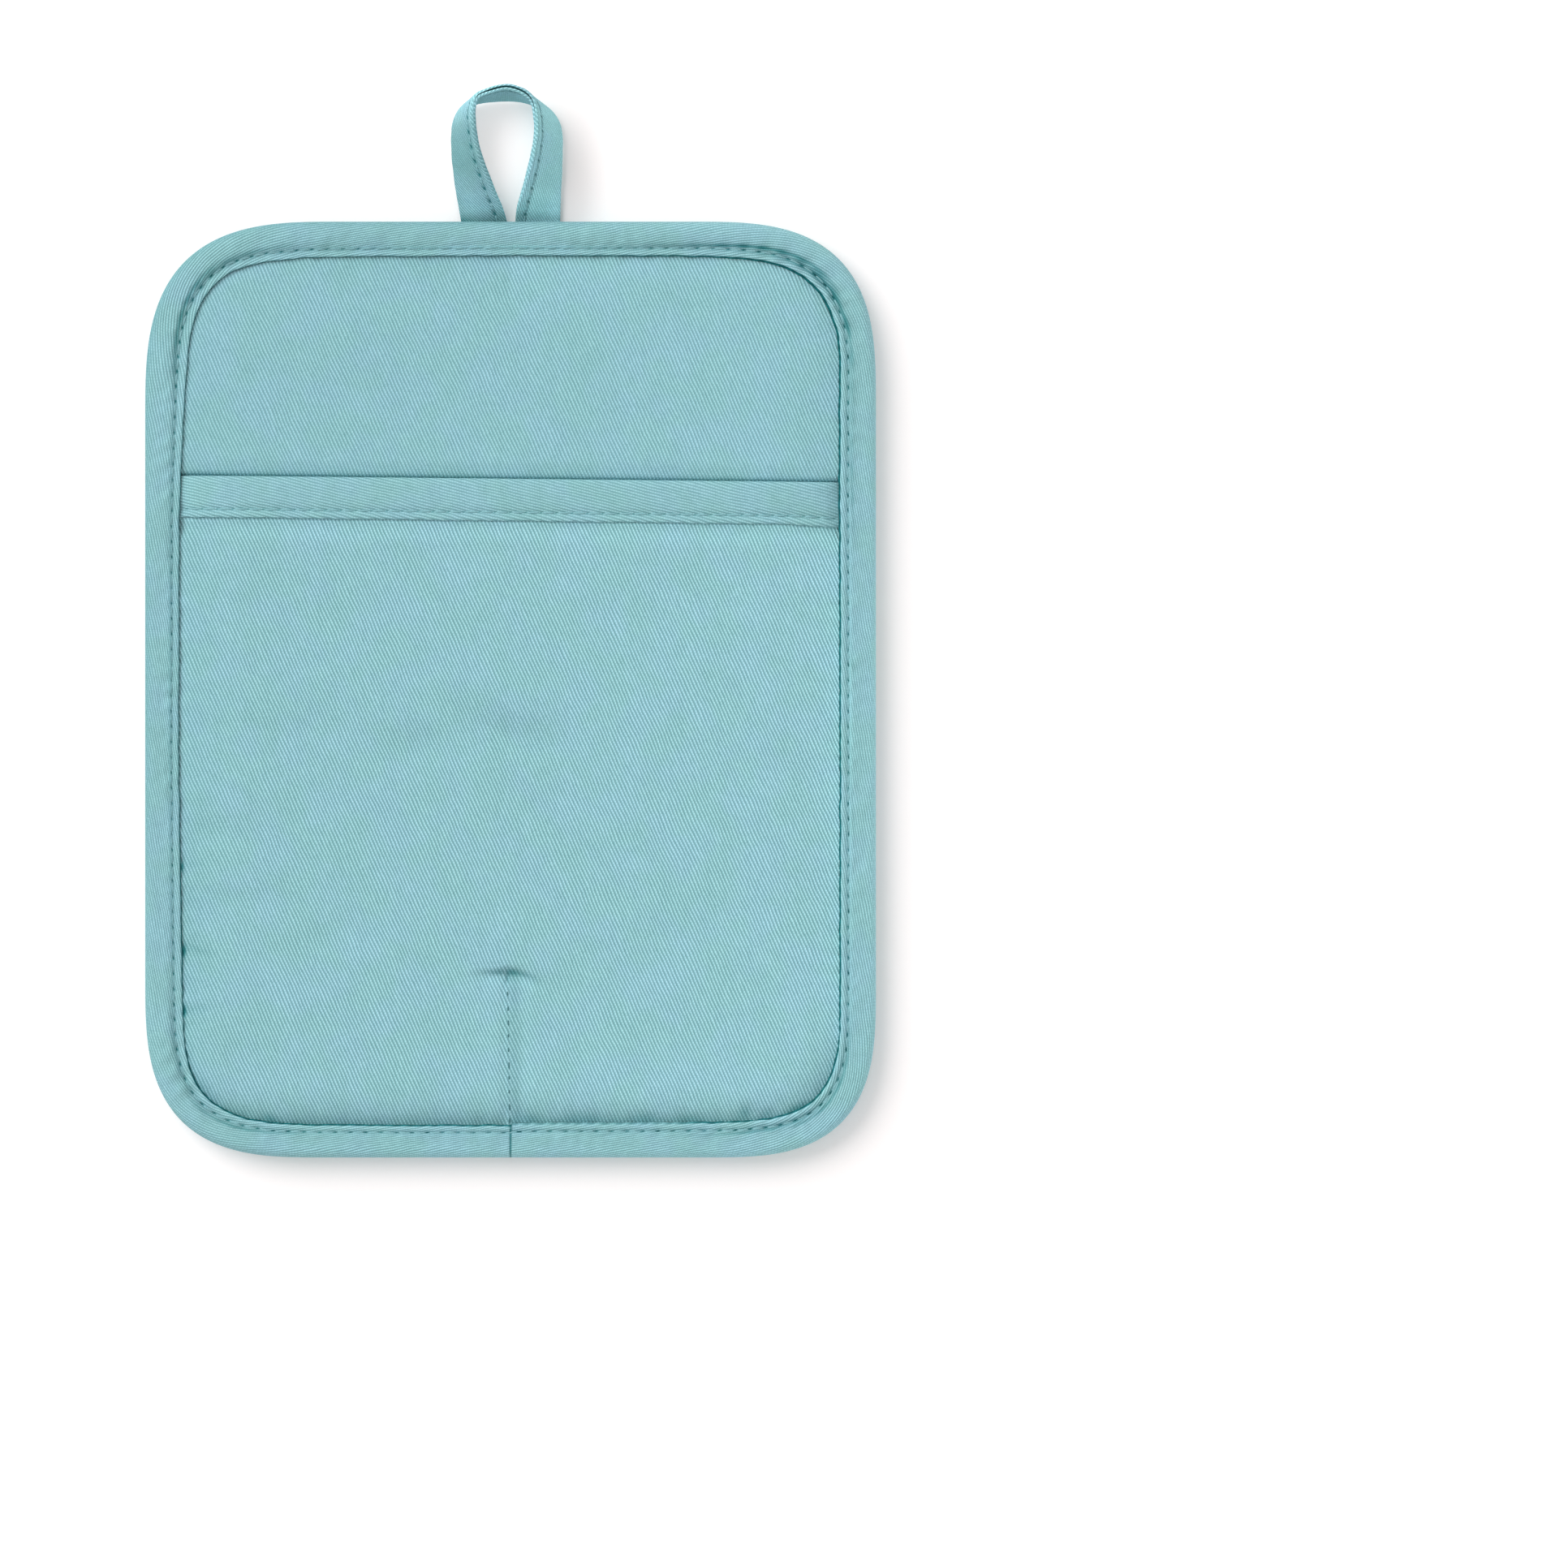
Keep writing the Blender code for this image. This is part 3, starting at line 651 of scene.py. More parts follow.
def cloth(name, color, angle, period, contrast, depth):
    """Cotton twill: slanting wales of short floats. Lengths in mm, angle in degrees."""
    made = Material(name)
    place = made.weave()
    turn = {"Vector": place, "Angle": -math.radians(angle)}
    along, straight = made.parts(made.node("VectorRotate", turn, rotation_type="Z_AXIS"))
    drift = made.swing(made.noise(place, 0.10, 1.0), 0.40)
    waver = made.swing(made.noise(place, 0.8, 1.0), 0.08)
    across = made.total(straight, drift, waver)
    count = made.math("DIVIDE", across, period)
    wale = made.ripple(made.times(count, TURN))
    number = made.math("FLOOR", made.math("ADD", count, 0.25))
    phase = made.math("MULTIPLY_ADD", number, FLOAT_SHIFT, made.times(along, TURN / FLOAT_LENGTH))
    bead = made.times(made.ripple(phase), wale)
    yarn = made.noise(made.joined(made.times(along, 0.22), number), 1.3, 1.0)
    stretched = made.joined(made.times(along, 1.2), across)
    fibre = made.noise(stretched, 4.0, 2.0, 0.6)
    slub = made.noise(stretched, 1.1, 1.0)
    mottle = made.noise(place, 0.12, 3.0, 0.55)
    height = made.total(wale, made.times(bead, 0.35), made.times(fibre, 0.35), made.times(yarn, 0.25))
    factor = made.total(
        made.swing(wale, contrast),
        made.swing(bead, contrast * 0.8),
        made.swing(yarn, 0.08),
        made.swing(slub, 0.10),
        made.swing(fibre, 0.10),
        made.swing(mottle, 0.035),
        1.0,
    )
    hue = made.node("MapRange", {0: made.noise(place, 0.09, 2.0), 1: 0.40, 2: 0.62})
    warm, cool = ((*np.multiply(color, change).tolist(), 1.0) for change in (WARM, COOL))
    made.tint(made.mixed(hue, warm, cool), factor)
    made.relief(height, depth)
    sheen = {"Sheen Weight": 0.04, "Sheen Roughness": 0.55, "Sheen Tint": (0.80, 0.95, 1.0, 1.0)}
    made.put(made.shader, sheen)
    return made.finish(0.92, 0.10)


def plied(name, color):
    """Sewing thread of twisted plies."""
    made = Material(name)
    along, around = made.parts(made.weave())
    twist = made.total(made.times(along, TURN / 0.9), made.times(around, TURN / 0.96))
    made.tint(color, made.total(1.0, made.swing(made.ripple(twist), 0.06)))
    return made.finish(0.6, 0.3)


def rubber(name, color):
    """Satin silicone."""
    made = Material(name)
    place = made.weave()
    cloudy = made.noise(place, 0.05, 3.0)
    grain = made.noise(place, 2.2, 2.0, 0.6)
    made.tint(color, made.total(1.0, made.swing(cloudy, 0.03), made.swing(grain, 0.02)))
    made.relief(grain, 0.012)
    return made.finish(0.46, 0.45)


THREAD_COLOR = (0.235, 0.470, 0.505)
# The dart's stitches are thread coloured dark as painted shade of their holes.
SHADOWED_THREAD_COLOR = (0.080, 0.220, 0.240)
# Material and slot of each surface. The cloths' numbers are the direction of their wales in
# degrees, the wales' distance in mm, their contrast and their relief in mm.
SURFACES = {
    "panel": (cloth("panel twill", (0.330, 0.626, 0.668), -66.0, 0.81, 0.15, 0.16), "panel_twill"),
    "pocket": (cloth("pocket twill", (0.348, 0.654, 0.696), -66.0, 0.81, 0.185, 0.16), "panel_twill"),
    "binding": (
        cloth("binding twill", (0.328, 0.622, 0.654), -12.0, 0.65, 0.145, 0.13), "binding_twill"
    ),
    "band": (cloth("band twill", (0.312, 0.594, 0.622), -14.0, 0.70, 0.14, 0.13), "binding_twill"),
    "loop": (cloth("loop twill", (0.280, 0.545, 0.580), 32.0, 0.58, 0.15, 0.13), "loop_twill"),
    "thread": (plied("thread", THREAD_COLOR), "binding_twill"),
    "loop thread": (plied("loop thread", THREAD_COLOR), "loop_twill"),
    "shadowed thread": (plied("shadowed thread", SHADOWED_THREAD_COLOR), "binding_twill"),
    "silicone": (rubber("silicone", (0.320, 0.600, 0.645)), "silicone"),
}


# Panel and pocket --------------------

SIDE = WIDTH / 2 - LAYERS_INSET
END = LENGTH / 2 - LAYERS_INSET
POCKET_CLOTH = 0.0006
TUCK = 0.0007
PANEL_SEED = 21
POCKET_SEED = 31
# Painted shade of the cloth beside the binding, painted light where below 0, from the top left corner
# clockwise.
SEAM_SHADE = (-0.14, 0.24, 0.38, -0.12, 0.12, 0.14, 0.34, -0.14)


def painted_side_light(x, y, left, right):
    """Painted light and shade of a panel: darker towards its left side and lighter towards its right,
    also across the whole face.
    """
    depth = np.maximum(rim_depth(x, y) - BINDING_REACH, 0.0)
    dim = left * bell(depth, 0, 0.0110) * (x < 0)
    lit = right * np.exp(-depth / 0.0055) * (x > 0)
    return (dim - lit) * ease((0.1000 + y) / 0.0200) - 0.3 * x


def seam_shade(x, y):
    """Painted shade of a panel where it goes under the binding, painted light where SEAM_SHADE is
    below 0, heavier in gathers along the lower side.
    """
    depth = np.maximum(rim_depth(x, y) - BINDING_REACH + 0.0003, 0.0)
    place = RIM.place(x, y)
    turns = np.interp(place, RIM.places, RIM.turns)
    near = 0.7 * np.exp(-depth / 0.0009) + 0.3 * np.exp(-depth / 0.0027)
    waves = 0.8 * uneven_sine(place, 0.0125, 61) + 0.25 * uneven_sine(place, 0.0058, 62)
    gather = 1 + 0.14 * waves
    low = np.exp(-(depth / (0.0029 * gather)) ** 2.2) * ease((-0.0900 - y) / 0.0060)
    patch = 0.10 + 0.11 * ease((x - 0.0010) / 0.0050) * ease((0.0680 - x) / 0.0200)
    return round_the_rim(turns, SEAM_SHADE) * near + patch * gather * low


def make_panel():
    """The twill front panel and its filling."""
    zones = [(MOUTH_Y - 0.018, MOUTH_Y + 0.007, 0.0007), (END - 0.012, END, 0.0009)]
    x, y = plan_grid(marks(-SIDE, SIDE, 0.0015), marks(-END, END, 0.0016, zones))
    top = np.stack([x, y, pad_top(x, y) + seam_puckers(x, y, PANEL_SEED)], -1)
    base = np.stack([x, y, PAD_UNDERSIDE + loop_dent(x, y)], -1)
    shade = seam_shade(x, y) + painted_side_light(x, y, 0.05, 0.05) + spread(PANEL_PAINTED_SHADE, x, y)
    # Painted shade in the notch above the strip's fold.
    shade += 0.34 * bell(y, mouth_line(x) + 0.0001, 0.0006)
    panel = sheet_object("padded_panel", top, base, "panel", shade)
    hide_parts("padded_body")


def end_share(x, y):
    """1 where the band runs under the binding, 0 away from it."""
    return ease((0.0125 - rim_depth(x, y)) / 0.0045)


def pocket_face(x, y):
    """Height of the pocket's upper face, lower where the band's ends are tucked in."""
    dip = dip_share(x, y)
    level = pad_top(x, y) + RIM_DIP * (1 + dip)
    return level - TUCK * dip * end_share(x, y) + seam_puckers(x, y, POCKET_SEED)


def dart_shade(x, y):
    """Painted shade in the dart, in the arched crease over it and in the tuck below that, and painted
    light just left of the seam.
    """
    off = x - dart_line(y)
    span = x - DART_TOP[0]
    seam = 0.14 * bell(off, 0.0015, 0.0017) - 0.24 * bell(off, -0.0005, 0.0005)
    arch = y - DART_TOP[1] + 0.0004 + 0.0012 * np.maximum(0, span / 0.0060) ** 2
    ends = np.exp(-np.abs(span / np.where(span > 0, 0.0082, 0.0062)) ** 2.2)
    tuck = 0.30 * bell(span, 0.0001, 0.00045) * bell(y, -0.0706, 0.0012)
    return seam * ease(1 - (y - DART_TOP[1]) / 0.0008) + 0.28 * bell(arch, 0, 0.0008) * ends + tuck


def make_pocket():
    """The patch pocket with its dart."""
    columns = marks(-SIDE, SIDE, 0.0012, [(-0.0030, 0.0022, 0.0003), (-SIDE, 0.0090 - SIDE, 0.0006)])
    zones = [
        (-END, 0.014 - END, 0.0007),
        (-0.0710, -0.0655, 0.0005),
        (-0.0800, -0.0770, 0.0007),
        (-0.0660, -0.0410, 0.0007),
        (MOUTH_Y - 0.0190, MOUTH_Y - 0.0100, 0.0005),
    ]
    x, y = plan_grid(columns, marks(-END, MOUTH_Y - 0.0013, 0.0012, zones))
    level = pocket_face(x, y)
    shade = seam_shade(x, y) + painted_side_light(x, y, 0.08, 0.26) + spread(POCKET_PAINTED_SHADE, x, y)
    # Painted shade of the dart, and painted light just below the strip's foot to lift its shadow.
    shade += dart_shade(x, y) - 0.34 * bell(y, band_foot(x) - 0.0004, 0.00035)
    top = np.stack([x, y, level], -1)
    pocket = sheet_object("front_pocket", top, top - (0, 0, POCKET_CLOTH), "pocket", shade)
    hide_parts("pocket_panel")
    return pocket


def dart_stitches():
    """Paths of the short sunk stitches that hold the dart."""
    starts = np.arange(-0.0735, -0.1045, -0.0034)[:, None]
    generator = np.random.default_rng(11)
    y = starts - np.linspace(0, 1, 6) * generator.uniform(0.0010, 0.0020, starts.shape)
    x = dart_line(y) + generator.uniform(-0.00008, 0.00008, starts.shape)
    z = pocket_face(x, y) + 0.00003 - 0.00012 * np.linspace(-1, 1, 6) ** 2
    return np.stack([x, y, z], -1)


# Folded strip over the pocket's top edge --------------------

BAND_CLOTH = 0.0006
BAND_STITCH = 0.0021
BAND_STITCH_ROW = 7
BAND_LIFT = 0.0010
BAND_FULL = 0.0105  # height of the profile
# In mm: distance above the strip's foot, and height against the flat strip.
BAND_PROFILE = (
    (0, -0.62), (-0.04, -0.34), (0.06, -0.08), (0.32, 0.04), (0.8, 0.08), (1.3, 0.06),
    (1.72, -0.12), (2.1, -0.26), (2.46, -0.1), (2.92, 0.09), (3.9, 0.18), (5.3, 0.22), (6.6, 0.2),
    (7.8, 0.15), (8.8, 0.08), (9.5, -0.02), (10, -0.16), (10.34, -0.42), (10.5, -0.86),
    (10.52, -1.5), (10.46, -2.1),
)


def wave(place, length, phase=0.0):
    """Sine wave of a given length."""
    return np.sin(TURN * place / length + phase)


def needle_share(place, pitch):
    """1 at each needle hole, 0 midway between two."""
    return 0.5 + 0.5 * np.cos(TURN * place / pitch)


def stitch_paths(points, way):
    """Threads over points of a face (way 1), or under them but clear of the floor (way -1)."""
    paths = points.reshape(-1, STITCH_STEPS, 3).copy()
    paths[..., 2] = np.maximum(paths[..., 2] + way * THREAD_ARCH, STITCH_RADIUS)
    return paths


def band_rings(x):
    """Sections of the strip at each x, from the front foot round to the rear."""
    above, height = np.array(BAND_PROFILE).T * MM
    foot = band_foot(x)
    top = mouth_line(x)
    wide = np.repeat(x[:, None], len(above), 1)
    y = foot[:, None] + np.outer((top - foot) / BAND_FULL, above)
    # The strip lies on the pocket's slope, but its fold doesn't follow the pocket down.
    under = np.minimum(y, mouth_line(wide) - 0.0040)
    lift = BAND_LIFT - 0.0003 * end_share(wide, under)
    slow = wave(x, 0.0300, 1.0) + 0.6 * wave(x, 0.0123)
    fine = wave(x, 0.0052, 1.4 * wave(x, 0.0310))
    puff = np.sin(math.pi * clamp((above - BAND_STITCH) / 0.0080))
    groove = np.outer(needle_share(x, STITCH_PITCH), bell(above, BAND_STITCH, 0.0008))
    swell = 0.00004 * np.outer(slow + fine, puff) - 0.00009 * groove
    z = pocket_face(wide, under) + lift + (height + swell) * lift / BAND_LIFT
    edge = 0.00007 * wave(x, STITCH_PITCH, 0.7) + 0.00005 * slow
    front = np.stack([wide, y + np.outer(edge, np.exp(-above / 0.0006)), z], -1)
    inner = top - 0.0012
    rear_level = pad_top(x, np.minimum(top - 0.0040, foot + 0.0040)) + 0.00012
    rear = [
        (x, top - 0.0006, rear_level + 0.0001),
        (x, top - 0.0030, rear_level),
        (x, foot + 0.0002, rear_level),
        (x, foot + 0.0002, rear_level + BAND_CLOTH),
        (x, inner, rear_level + BAND_CLOTH),
        (x, inner, pocket_face(x, foot + 0.0045) + 0.0001),
    ]
    return np.concatenate([front, np.transpose(rear, (2, 0, 1))], 1)


def make_band():
    """The strip, and the paths of its row of stitches."""
    left, right = (side * side_reach(0.0450, side, 0.0060) for side in (-1, 1))
    step = STITCH_PITCH / PER_STITCH
    numbers = np.arange(math.ceil(left / step), math.floor(right / step) + 1)
    rings = band_rings(numbers * step)
    around = girth(rings[len(numbers) // 2], 0.0005)
    # Painted shade in the needle holes along the stitch row.
    shade = np.zeros(rings.shape[:2])
    shade[numbers % PER_STITCH == 0, BAND_STITCH_ROW] = 0.45
    shade[:, BAND_STITCH_ROW] += 0.03
    band = loft_object("pocket_edge_strip", rings, numbers * step, around, "band", False, shade)
    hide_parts("pocket_band")
    first = math.ceil((left + 0.0015) / STITCH_PITCH)
    stitches = np.arange(first, math.floor((right - 0.0040) / STITCH_PITCH))
    places = stitch_places(stitches, STITCH_PITCH, 0.07)
    return band, stitch_paths(band_rings(places)[:, BAND_STITCH_ROW], 1)


# Binding --------------------

# In mm: inset from the rim, and height, from the front's inner edge round to the back's.
BINDING_PROFILE = (
    (8.4, 6.33), (8.76, 6.34), (8.78, 6.42), (8.42, 6.5), (8.47, 7), (8.38, 7.3), (8.05, 7.48),
    (7.5, 7.5), (7, 7.36), (6.62, 7.1), (6.36, 7.52), (6.12, 7.8), (5.88, 7.94), (5.6, 8.02),
    (5.3, 8.08), (4.95, 8.12), (4.6, 8.15), (4.3, 8.17), (3.4, 8.22), (2.5, 8.26), (1.7, 8.18),
    (1, 7.84), (0.42, 7.16), (0.08, 6.1), (0, 4.6), (0.12, 3.3), (0.45, 2.2), (1, 1.2), (1.8, 0.45),
    (2.8, 0.08), (3.8, 0), (4.8, 0), (5.6, 0.06), (6.2, 0.2), (6.6, 0.46), (7, 0.24), (7.5, 0.1),
    (8.05, 0.06), (8.34, 0.16), (8.46, 0.4), (8.42, 0.9), (8.8, 0.98), (8.78, 1.06), (8.4, 1.08),
    (5, 1.1), (1.9, 1.1), (1.6, 3.7), (1.9, 6.3), (5, 6.3),
)
PLAIN, LEVEL = np.array(BINDING_PROFILE).T * MM
ROWS = np.arange(len(PLAIN))
FRONT_ROW = 9
BACK_ROW = 34
BACK_START = 25
HIDDEN_START = 44
FRONT = ROWS < BACK_START
BACK = (ROWS >= BACK_START) & (ROWS < HIDDEN_START)
GROW = clamp((PLAIN - 0.0030) / 0.0054)  # share of the tape's extra width at each row
# Painted shade of the gap under the inner edges of the front and the back, row by row, on a thin
# ledge (rows 1 and 2) put under the front's edge to show it; rows 5 and 6 get painted light.
LEDGE_ROWS = (1, 2)
FRONT_EDGE_PAINTED_SHADE = {0: 0.60, 1: 0.74, 2: 0.74, 3: 0.68, 4: 0.05, 5: -0.08, 6: -0.05}
BACK_EDGE_PAINTED_SHADE = {39: 0.10, 40: 0.60, 41: 0.74, 42: 0.74, 43: 0.60}
LIP_SHARES = {4: 0.6, 5: 0.9, 6: 1.0, 7: 1.0, 8: 0.7, 9: 0.1}
# Turn, and width of the tape's front there in mm.
FRONT_WIDTHS = (
    (0, 9.6), (0.13, 10.1), (0.33, 9.9), (0.61, 8.8), (0.76, 9.15), (1.06, 8.5), (1.5, 8.2),
    (1.9, 8.2), (2.2, 8.75), (2.5, 8.75), (2.8, 8.3), (3.1, 8.6), (3.5, 8.4), (3.9, 8.45),
    (4.5, 8.35), (4.8, 8.6), (5.15, 7.85), (5.5, 7.6), (5.9, 7.65), (6.2, 8.15), (6.5, 8.35),
    (6.7, 8.9), (6.9, 9.2), (7.13, 8.7), (7.4, 8.1), (7.8, 8.25), (7.9, 8.8), (8, 9.6),
)
# The tables below hold a value for the top left corner, the top side and so on clockwise.
# Painted shade of the dark line inside the front, and of the needle holes:
LINE_PAINTED_SHADE = (1.04, 0.74, 1.12, 1.00, 1.02, 0.96, 1.12, 0.80)  # dark line inside the front
HOLE_PAINTED_SHADE = (1.20, 0.60, 1.00, 1.05, 1.10, 0.68, 0.95, 1.25)  # needle holes
LEDGES = (-0.22, -0.22, 0.26, 0.10, 0.12, 0.06, 0.02, -0.20)  # more width of that line, in mm
LIP_DROPS = (0.36, 0.30, 0.00, 0.00, 0.00, 0.05, 0.20, 0.32)  # lower inner edge, in mm
# Uneven painted shade over the stitches, painted light where below 0:
FURROW_PAINTED_SHADE = (0.22, 0.02, 0.38, 0.02, 0.14, 0.02, 0.12, -0.18)  # uneven tone over the stitches
# Painted light and shade of the front, painted light where below 0, each with the inset of its middle
# and its half width in mm.
FRONT_PAINTED_SHADE = (
    ((0.10, 0.14, 0.10, 0.02, 0.14, 0.14, 0.10, 0.08), 6.9, 0.4),  # beside the inner lip
    ((0.24, 0.20, -0.02, -0.42, -0.20, -0.12, 0.12, 0.27), 0.0, 1.6),  # outer edge
    ((0.00, -0.60, 0.00, -0.20, 0.00, 0.00, 0.00, -0.20), 6.4, 0.36),  # slope over the stitches
    ((0.05, 0.06, 0.04, 0.00, 0.00, 0.00, 0.00, -0.03), 4.3, 1.0),  # roll
)
# Creases that run along the tape: turns from and to; insets from and to, and depth, in mm.
CREASES = (
    (1.7, 2.62, 6.7, 4.9, 0.42), (2.34, 2.86, 6.9, 5.6, 0.3), (2.1, 2.7, 7.4, 7, 0.2),
    (4.1, 4.75, 6.4, 5.2, 0.34), (4.5, 5.1, 6.7, 5.5, 0.32), (6.02, 6.6, 6.4, 5.3, 0.32),
    (6.5, 7.1, 6.8, 5.6, 0.14), (0.02, 0.6, 6.5, 5.3, 0.38), (0.46, 0.86, 6.5, 5.6, 0.16),
    (3.05, 3.25, 6.3, 5.2, 0.14), (3.4, 3.5, 6.2, 5, 0.12), (3.62, 3.74, 6.3, 5.1, 0.12),
    (7.3, 7.42, 6.2, 5.2, 0.12), (7.72, 7.8, 6.3, 5.1, 0.12), (1.3, 1.42, 6.2, 5.2, 0.1),
    (5.22, 5.34, 6.3, 5.3, 0.1),
)
CREASE_WIDTH = 0.00034
# Painted shade in the creases:
CREASE_SHADE = 900  # per metre of depth
DEEPEST = 0.0090  # inset that covers the whole profile
# Join in the tape: over a run before it the front grows by a step, and is tacked at the end.
JOIN_TURN = 5.507
JOIN_OFFSET = 0.0003
JOIN_RUN = 0.100
JOIN_STEP = 0.00042
JOIN_MARKS = (-0.0007, -0.0004, -0.0002, 0.0, 0.0002, 0.0004, 0.0007)
TACK = 0.0034
MOST_SHADE = 0.80


class Binding:
    """The tape folded over the rim, at any place along its stitches."""

    def __init__(self):
        turns, places, self.length = even_turns(2400, STITCH_INSET)
        self.places = np.append(places, self.length)
        self.turns = np.append(turns, 8.0)
        self.count = round(self.length / STITCH_PITCH)
        self.pitch = self.length / self.count
        self.join = np.interp(JOIN_TURN, self.turns, self.places)
        self.luck = np.random.default_rng(7).uniform(0, 1, self.count)

    def ripple(self, places, length, seed):
        """Uneven ripple along the tape."""
        return uneven_sine(places * RIM.total / self.length, length, seed)

    def creases(self, turns):
        """Depth of the creases that run along the tape near its stitches."""
        depth = np.zeros((len(turns), len(PLAIN)))
        for start, stop, first, last, deep in CREASES:
            along = (turns - start) / (stop - start)
            middle = blend(first, last, along) * MM
            window = np.sin(math.pi * clamp(along)) ** 0.7 * ((along > 0) & (along < 1))
            depth += deep * MM * window[:, None] * bell(PLAIN, middle[:, None], CREASE_WIDTH)
        return depth

    def reach(self, turns):
        """How much wider the front is than its profile."""
        return np.interp(turns, *np.array(FRONT_WIDTHS).T) * MM - BINDING_REACH

    def insets(self, places, turns):
        """Distance of each section's points from the rim."""
        waver = self.ripple(places, 0.0170, 41)
        tight = self.ripple(places, 0.0061, 42)
        needle = needle_share(places, self.pitch)
        # The back's edge follows the ribs along the two long sides.
        sides = ((turns > 3) & (turns < 4)) | (turns > 7)
        rib = np.cos(TURN * outline_at(turns, BINDING_REACH)[1] / RIB_PITCH)
        before = np.minimum(self.join - places, JOIN_RUN)
        step_in = np.where(before > 0, JOIN_STEP * (1 - before / JOIN_RUN), 0.0)
        reach = self.reach(turns) + 0.00005 * waver + 0.00003 * (tight + needle) + step_in
        rear = 0.00010 + 0.00022 * rib * sides + 0.00007 * self.ripple(places, 0.0150, 45)
        inset = PLAIN + np.outer(reach, GROW * FRONT) + np.outer(rear, GROW * BACK)
        inset[:, LEDGE_ROWS] += round_the_rim(turns, LEDGES)[:, None] * MM
        return inset

    def swell(self, places, turns):
        """Puckers at the stitches, drag lines over the roll and gathers at the corners."""
        share = np.mod(turns, 2.0)
        corner = np.where(share < 1, np.sin(math.pi * clamp(share)) ** 1.5, 0.0)
        waver = self.ripple(places, 0.0170, 41)
        tight = self.ripple(places, 0.0061, 42)
        slow = self.ripple(places, 0.0330, 43)
        drag = self.ripple(places, 0.0047, 44)
        gather = corner * wave(places, 0.0052, 1.3 * waver)
        between = 0.5 - needle_share(places, self.pitch)
        result = np.zeros((len(places), len(PLAIN)))
        for height, middle, width in (
            (0.13 * between - 0.10 - 0.20 * corner, 6.6, 0.8),
            (0.05 * tight + 0.04 * slow + 0.22 * gather, 7.6, 0.7),
            (0.06 * drag + 0.07 * waver + 0.10 * slow + 0.12 * gather, 4.2, 1.6),
            (0.10 * self.ripple(places, 0.0053, 46), 5.6, 0.6),
        ):
            result += np.outer(height * MM, bell(PLAIN, middle * MM, width * MM))
        return result

    def points(self, places, turns, creases):
        """Sections at places along the tape."""
        low = outline_at(turns, 0.0)[..., None]
        high = outline_at(turns, DEEPEST)[..., None]
        x, y = blend(low, high, self.insets(places, turns) / DEEPEST)
        swell = self.swell(places, turns) - creases
        off = (places - self.join)[:, None]
        lean = off - self.seam(PLAIN)
        step = 0.00009 * np.tanh(lean / 0.0003) * np.exp(-np.abs(off) / 0.0040)
        join = (step - 0.00030 * np.exp(-np.abs(lean) / 0.00022)) * (PLAIN < 0.0082)
        z = LEVEL + (swell + join) * FRONT - (0.8 * swell + join) * (BACK & (LEVEL < 0.0009))
        z += 0.16 * np.outer(np.maximum(self.reach(turns), 0.0), GROW * FRONT)
        for row, part in LIP_SHARES.items():
            z[:, row] -= round_the_rim(turns, LIP_DROPS) * MM * part
        # The front edge rises a little where the pocket's strip goes under it.
        z += 0.00020 * dip_share(x, y) * clamp((PLAIN - 0.0030) / 0.0040) * FRONT
        # The back of the tape lies over the loop's legs.
        over = (ROWS >= BACK_START) & (ROWS < HIDDEN_START + 2)
        z += loop_dent(x, y) * clamp((0.0050 - LEVEL) / 0.0037) * over
        return np.stack([x, y, np.maximum(z, 0.0)], -1)

    def seam(self, inset):
        """Offset along the tape of the slanting join in it."""
        return JOIN_OFFSET - 0.00010 * inset / BINDING_REACH

    def shade(self, places, turns, creases):
        """Painted shade of the sections' points in the needle holes, the gap under the inner edges,
        the furrows and the creases, painted light where below 0, and the dark join.
        """
        number = np.round(places / self.pitch).astype(int)
        luck = 0.45 + 0.38 * self.luck[number % self.count]
        hole = luck * round_the_rim(turns, HOLE_PAINTED_SHADE) * bell(places, number * self.pitch, 0.00048)
        shade = np.outer(0.06 + hole, (ROWS == FRONT_ROW) | (ROWS == BACK_ROW))
        fade = 1 - 0.62 * ease((turns - 5.02) / 0.12) * (places < self.join)
        for row, value in FRONT_EDGE_PAINTED_SHADE.items():
            shade[:, row] += value * round_the_rim(turns, LINE_PAINTED_SHADE) * fade
        for row, value in BACK_EDGE_PAINTED_SHADE.items():
            shade[:, row] += value
        furrow = round_the_rim(turns, FURROW_PAINTED_SHADE) * (1 + 0.20 * self.ripple(places, 0.0070, 47))
        shade += np.outer(furrow, bell(PLAIN, 0.0060, 0.0010) * FRONT)
        for values, middle, width in FRONT_PAINTED_SHADE:
            across = bell(PLAIN, middle * MM, width * MM) * FRONT
            shade += np.outer(round_the_rim(turns, values), across)
        gap = places - self.join
        shade += CREASE_SHADE * creases
        shade += 0.66 * bell(gap[:, None], self.seam(PLAIN), 0.00026) * (ROWS < HIDDEN_START)
        shade[(gap < 0) & (gap > -TACK), FRONT_ROW] += 0.70
        return np.minimum(shade, MOST_SHADE)

    def rings(self, places):
        """Sections at places along the tape, and their shade."""
        turns = np.interp(places, self.places, self.turns)
        creases = self.creases(turns)
        return self.points(places, turns, creases), self.shade(places, turns, creases)


def make_binding():
    """The tape, and the paths of its stitches on both faces."""
    tape = Binding()
    start = tape.join + JOIN_OFFSET
    even = np.arange(PER_STITCH * tape.count) * tape.pitch / PER_STITCH
    places = np.union1d(even, start + np.array(JOIN_MARKS))
    places = np.sort(np.mod(places - start, tape.length)) + start
    rings, shade = tape.rings(np.mod(places, tape.length))
    around = -girth(rings[len(places) // 3], 0.0034)
    along = np.append(places, start + tape.length)
    item = loft_object("bound_edge", rings, along, around, "binding", True, shade)
    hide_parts("edge_binding")
    rings = tape.rings(stitch_places(np.arange(tape.count), tape.pitch))[0]
    return item, stitch_paths(rings[:, FRONT_ROW], 1), stitch_paths(rings[:, BACK_ROW], -1)


# Hanging loop --------------------

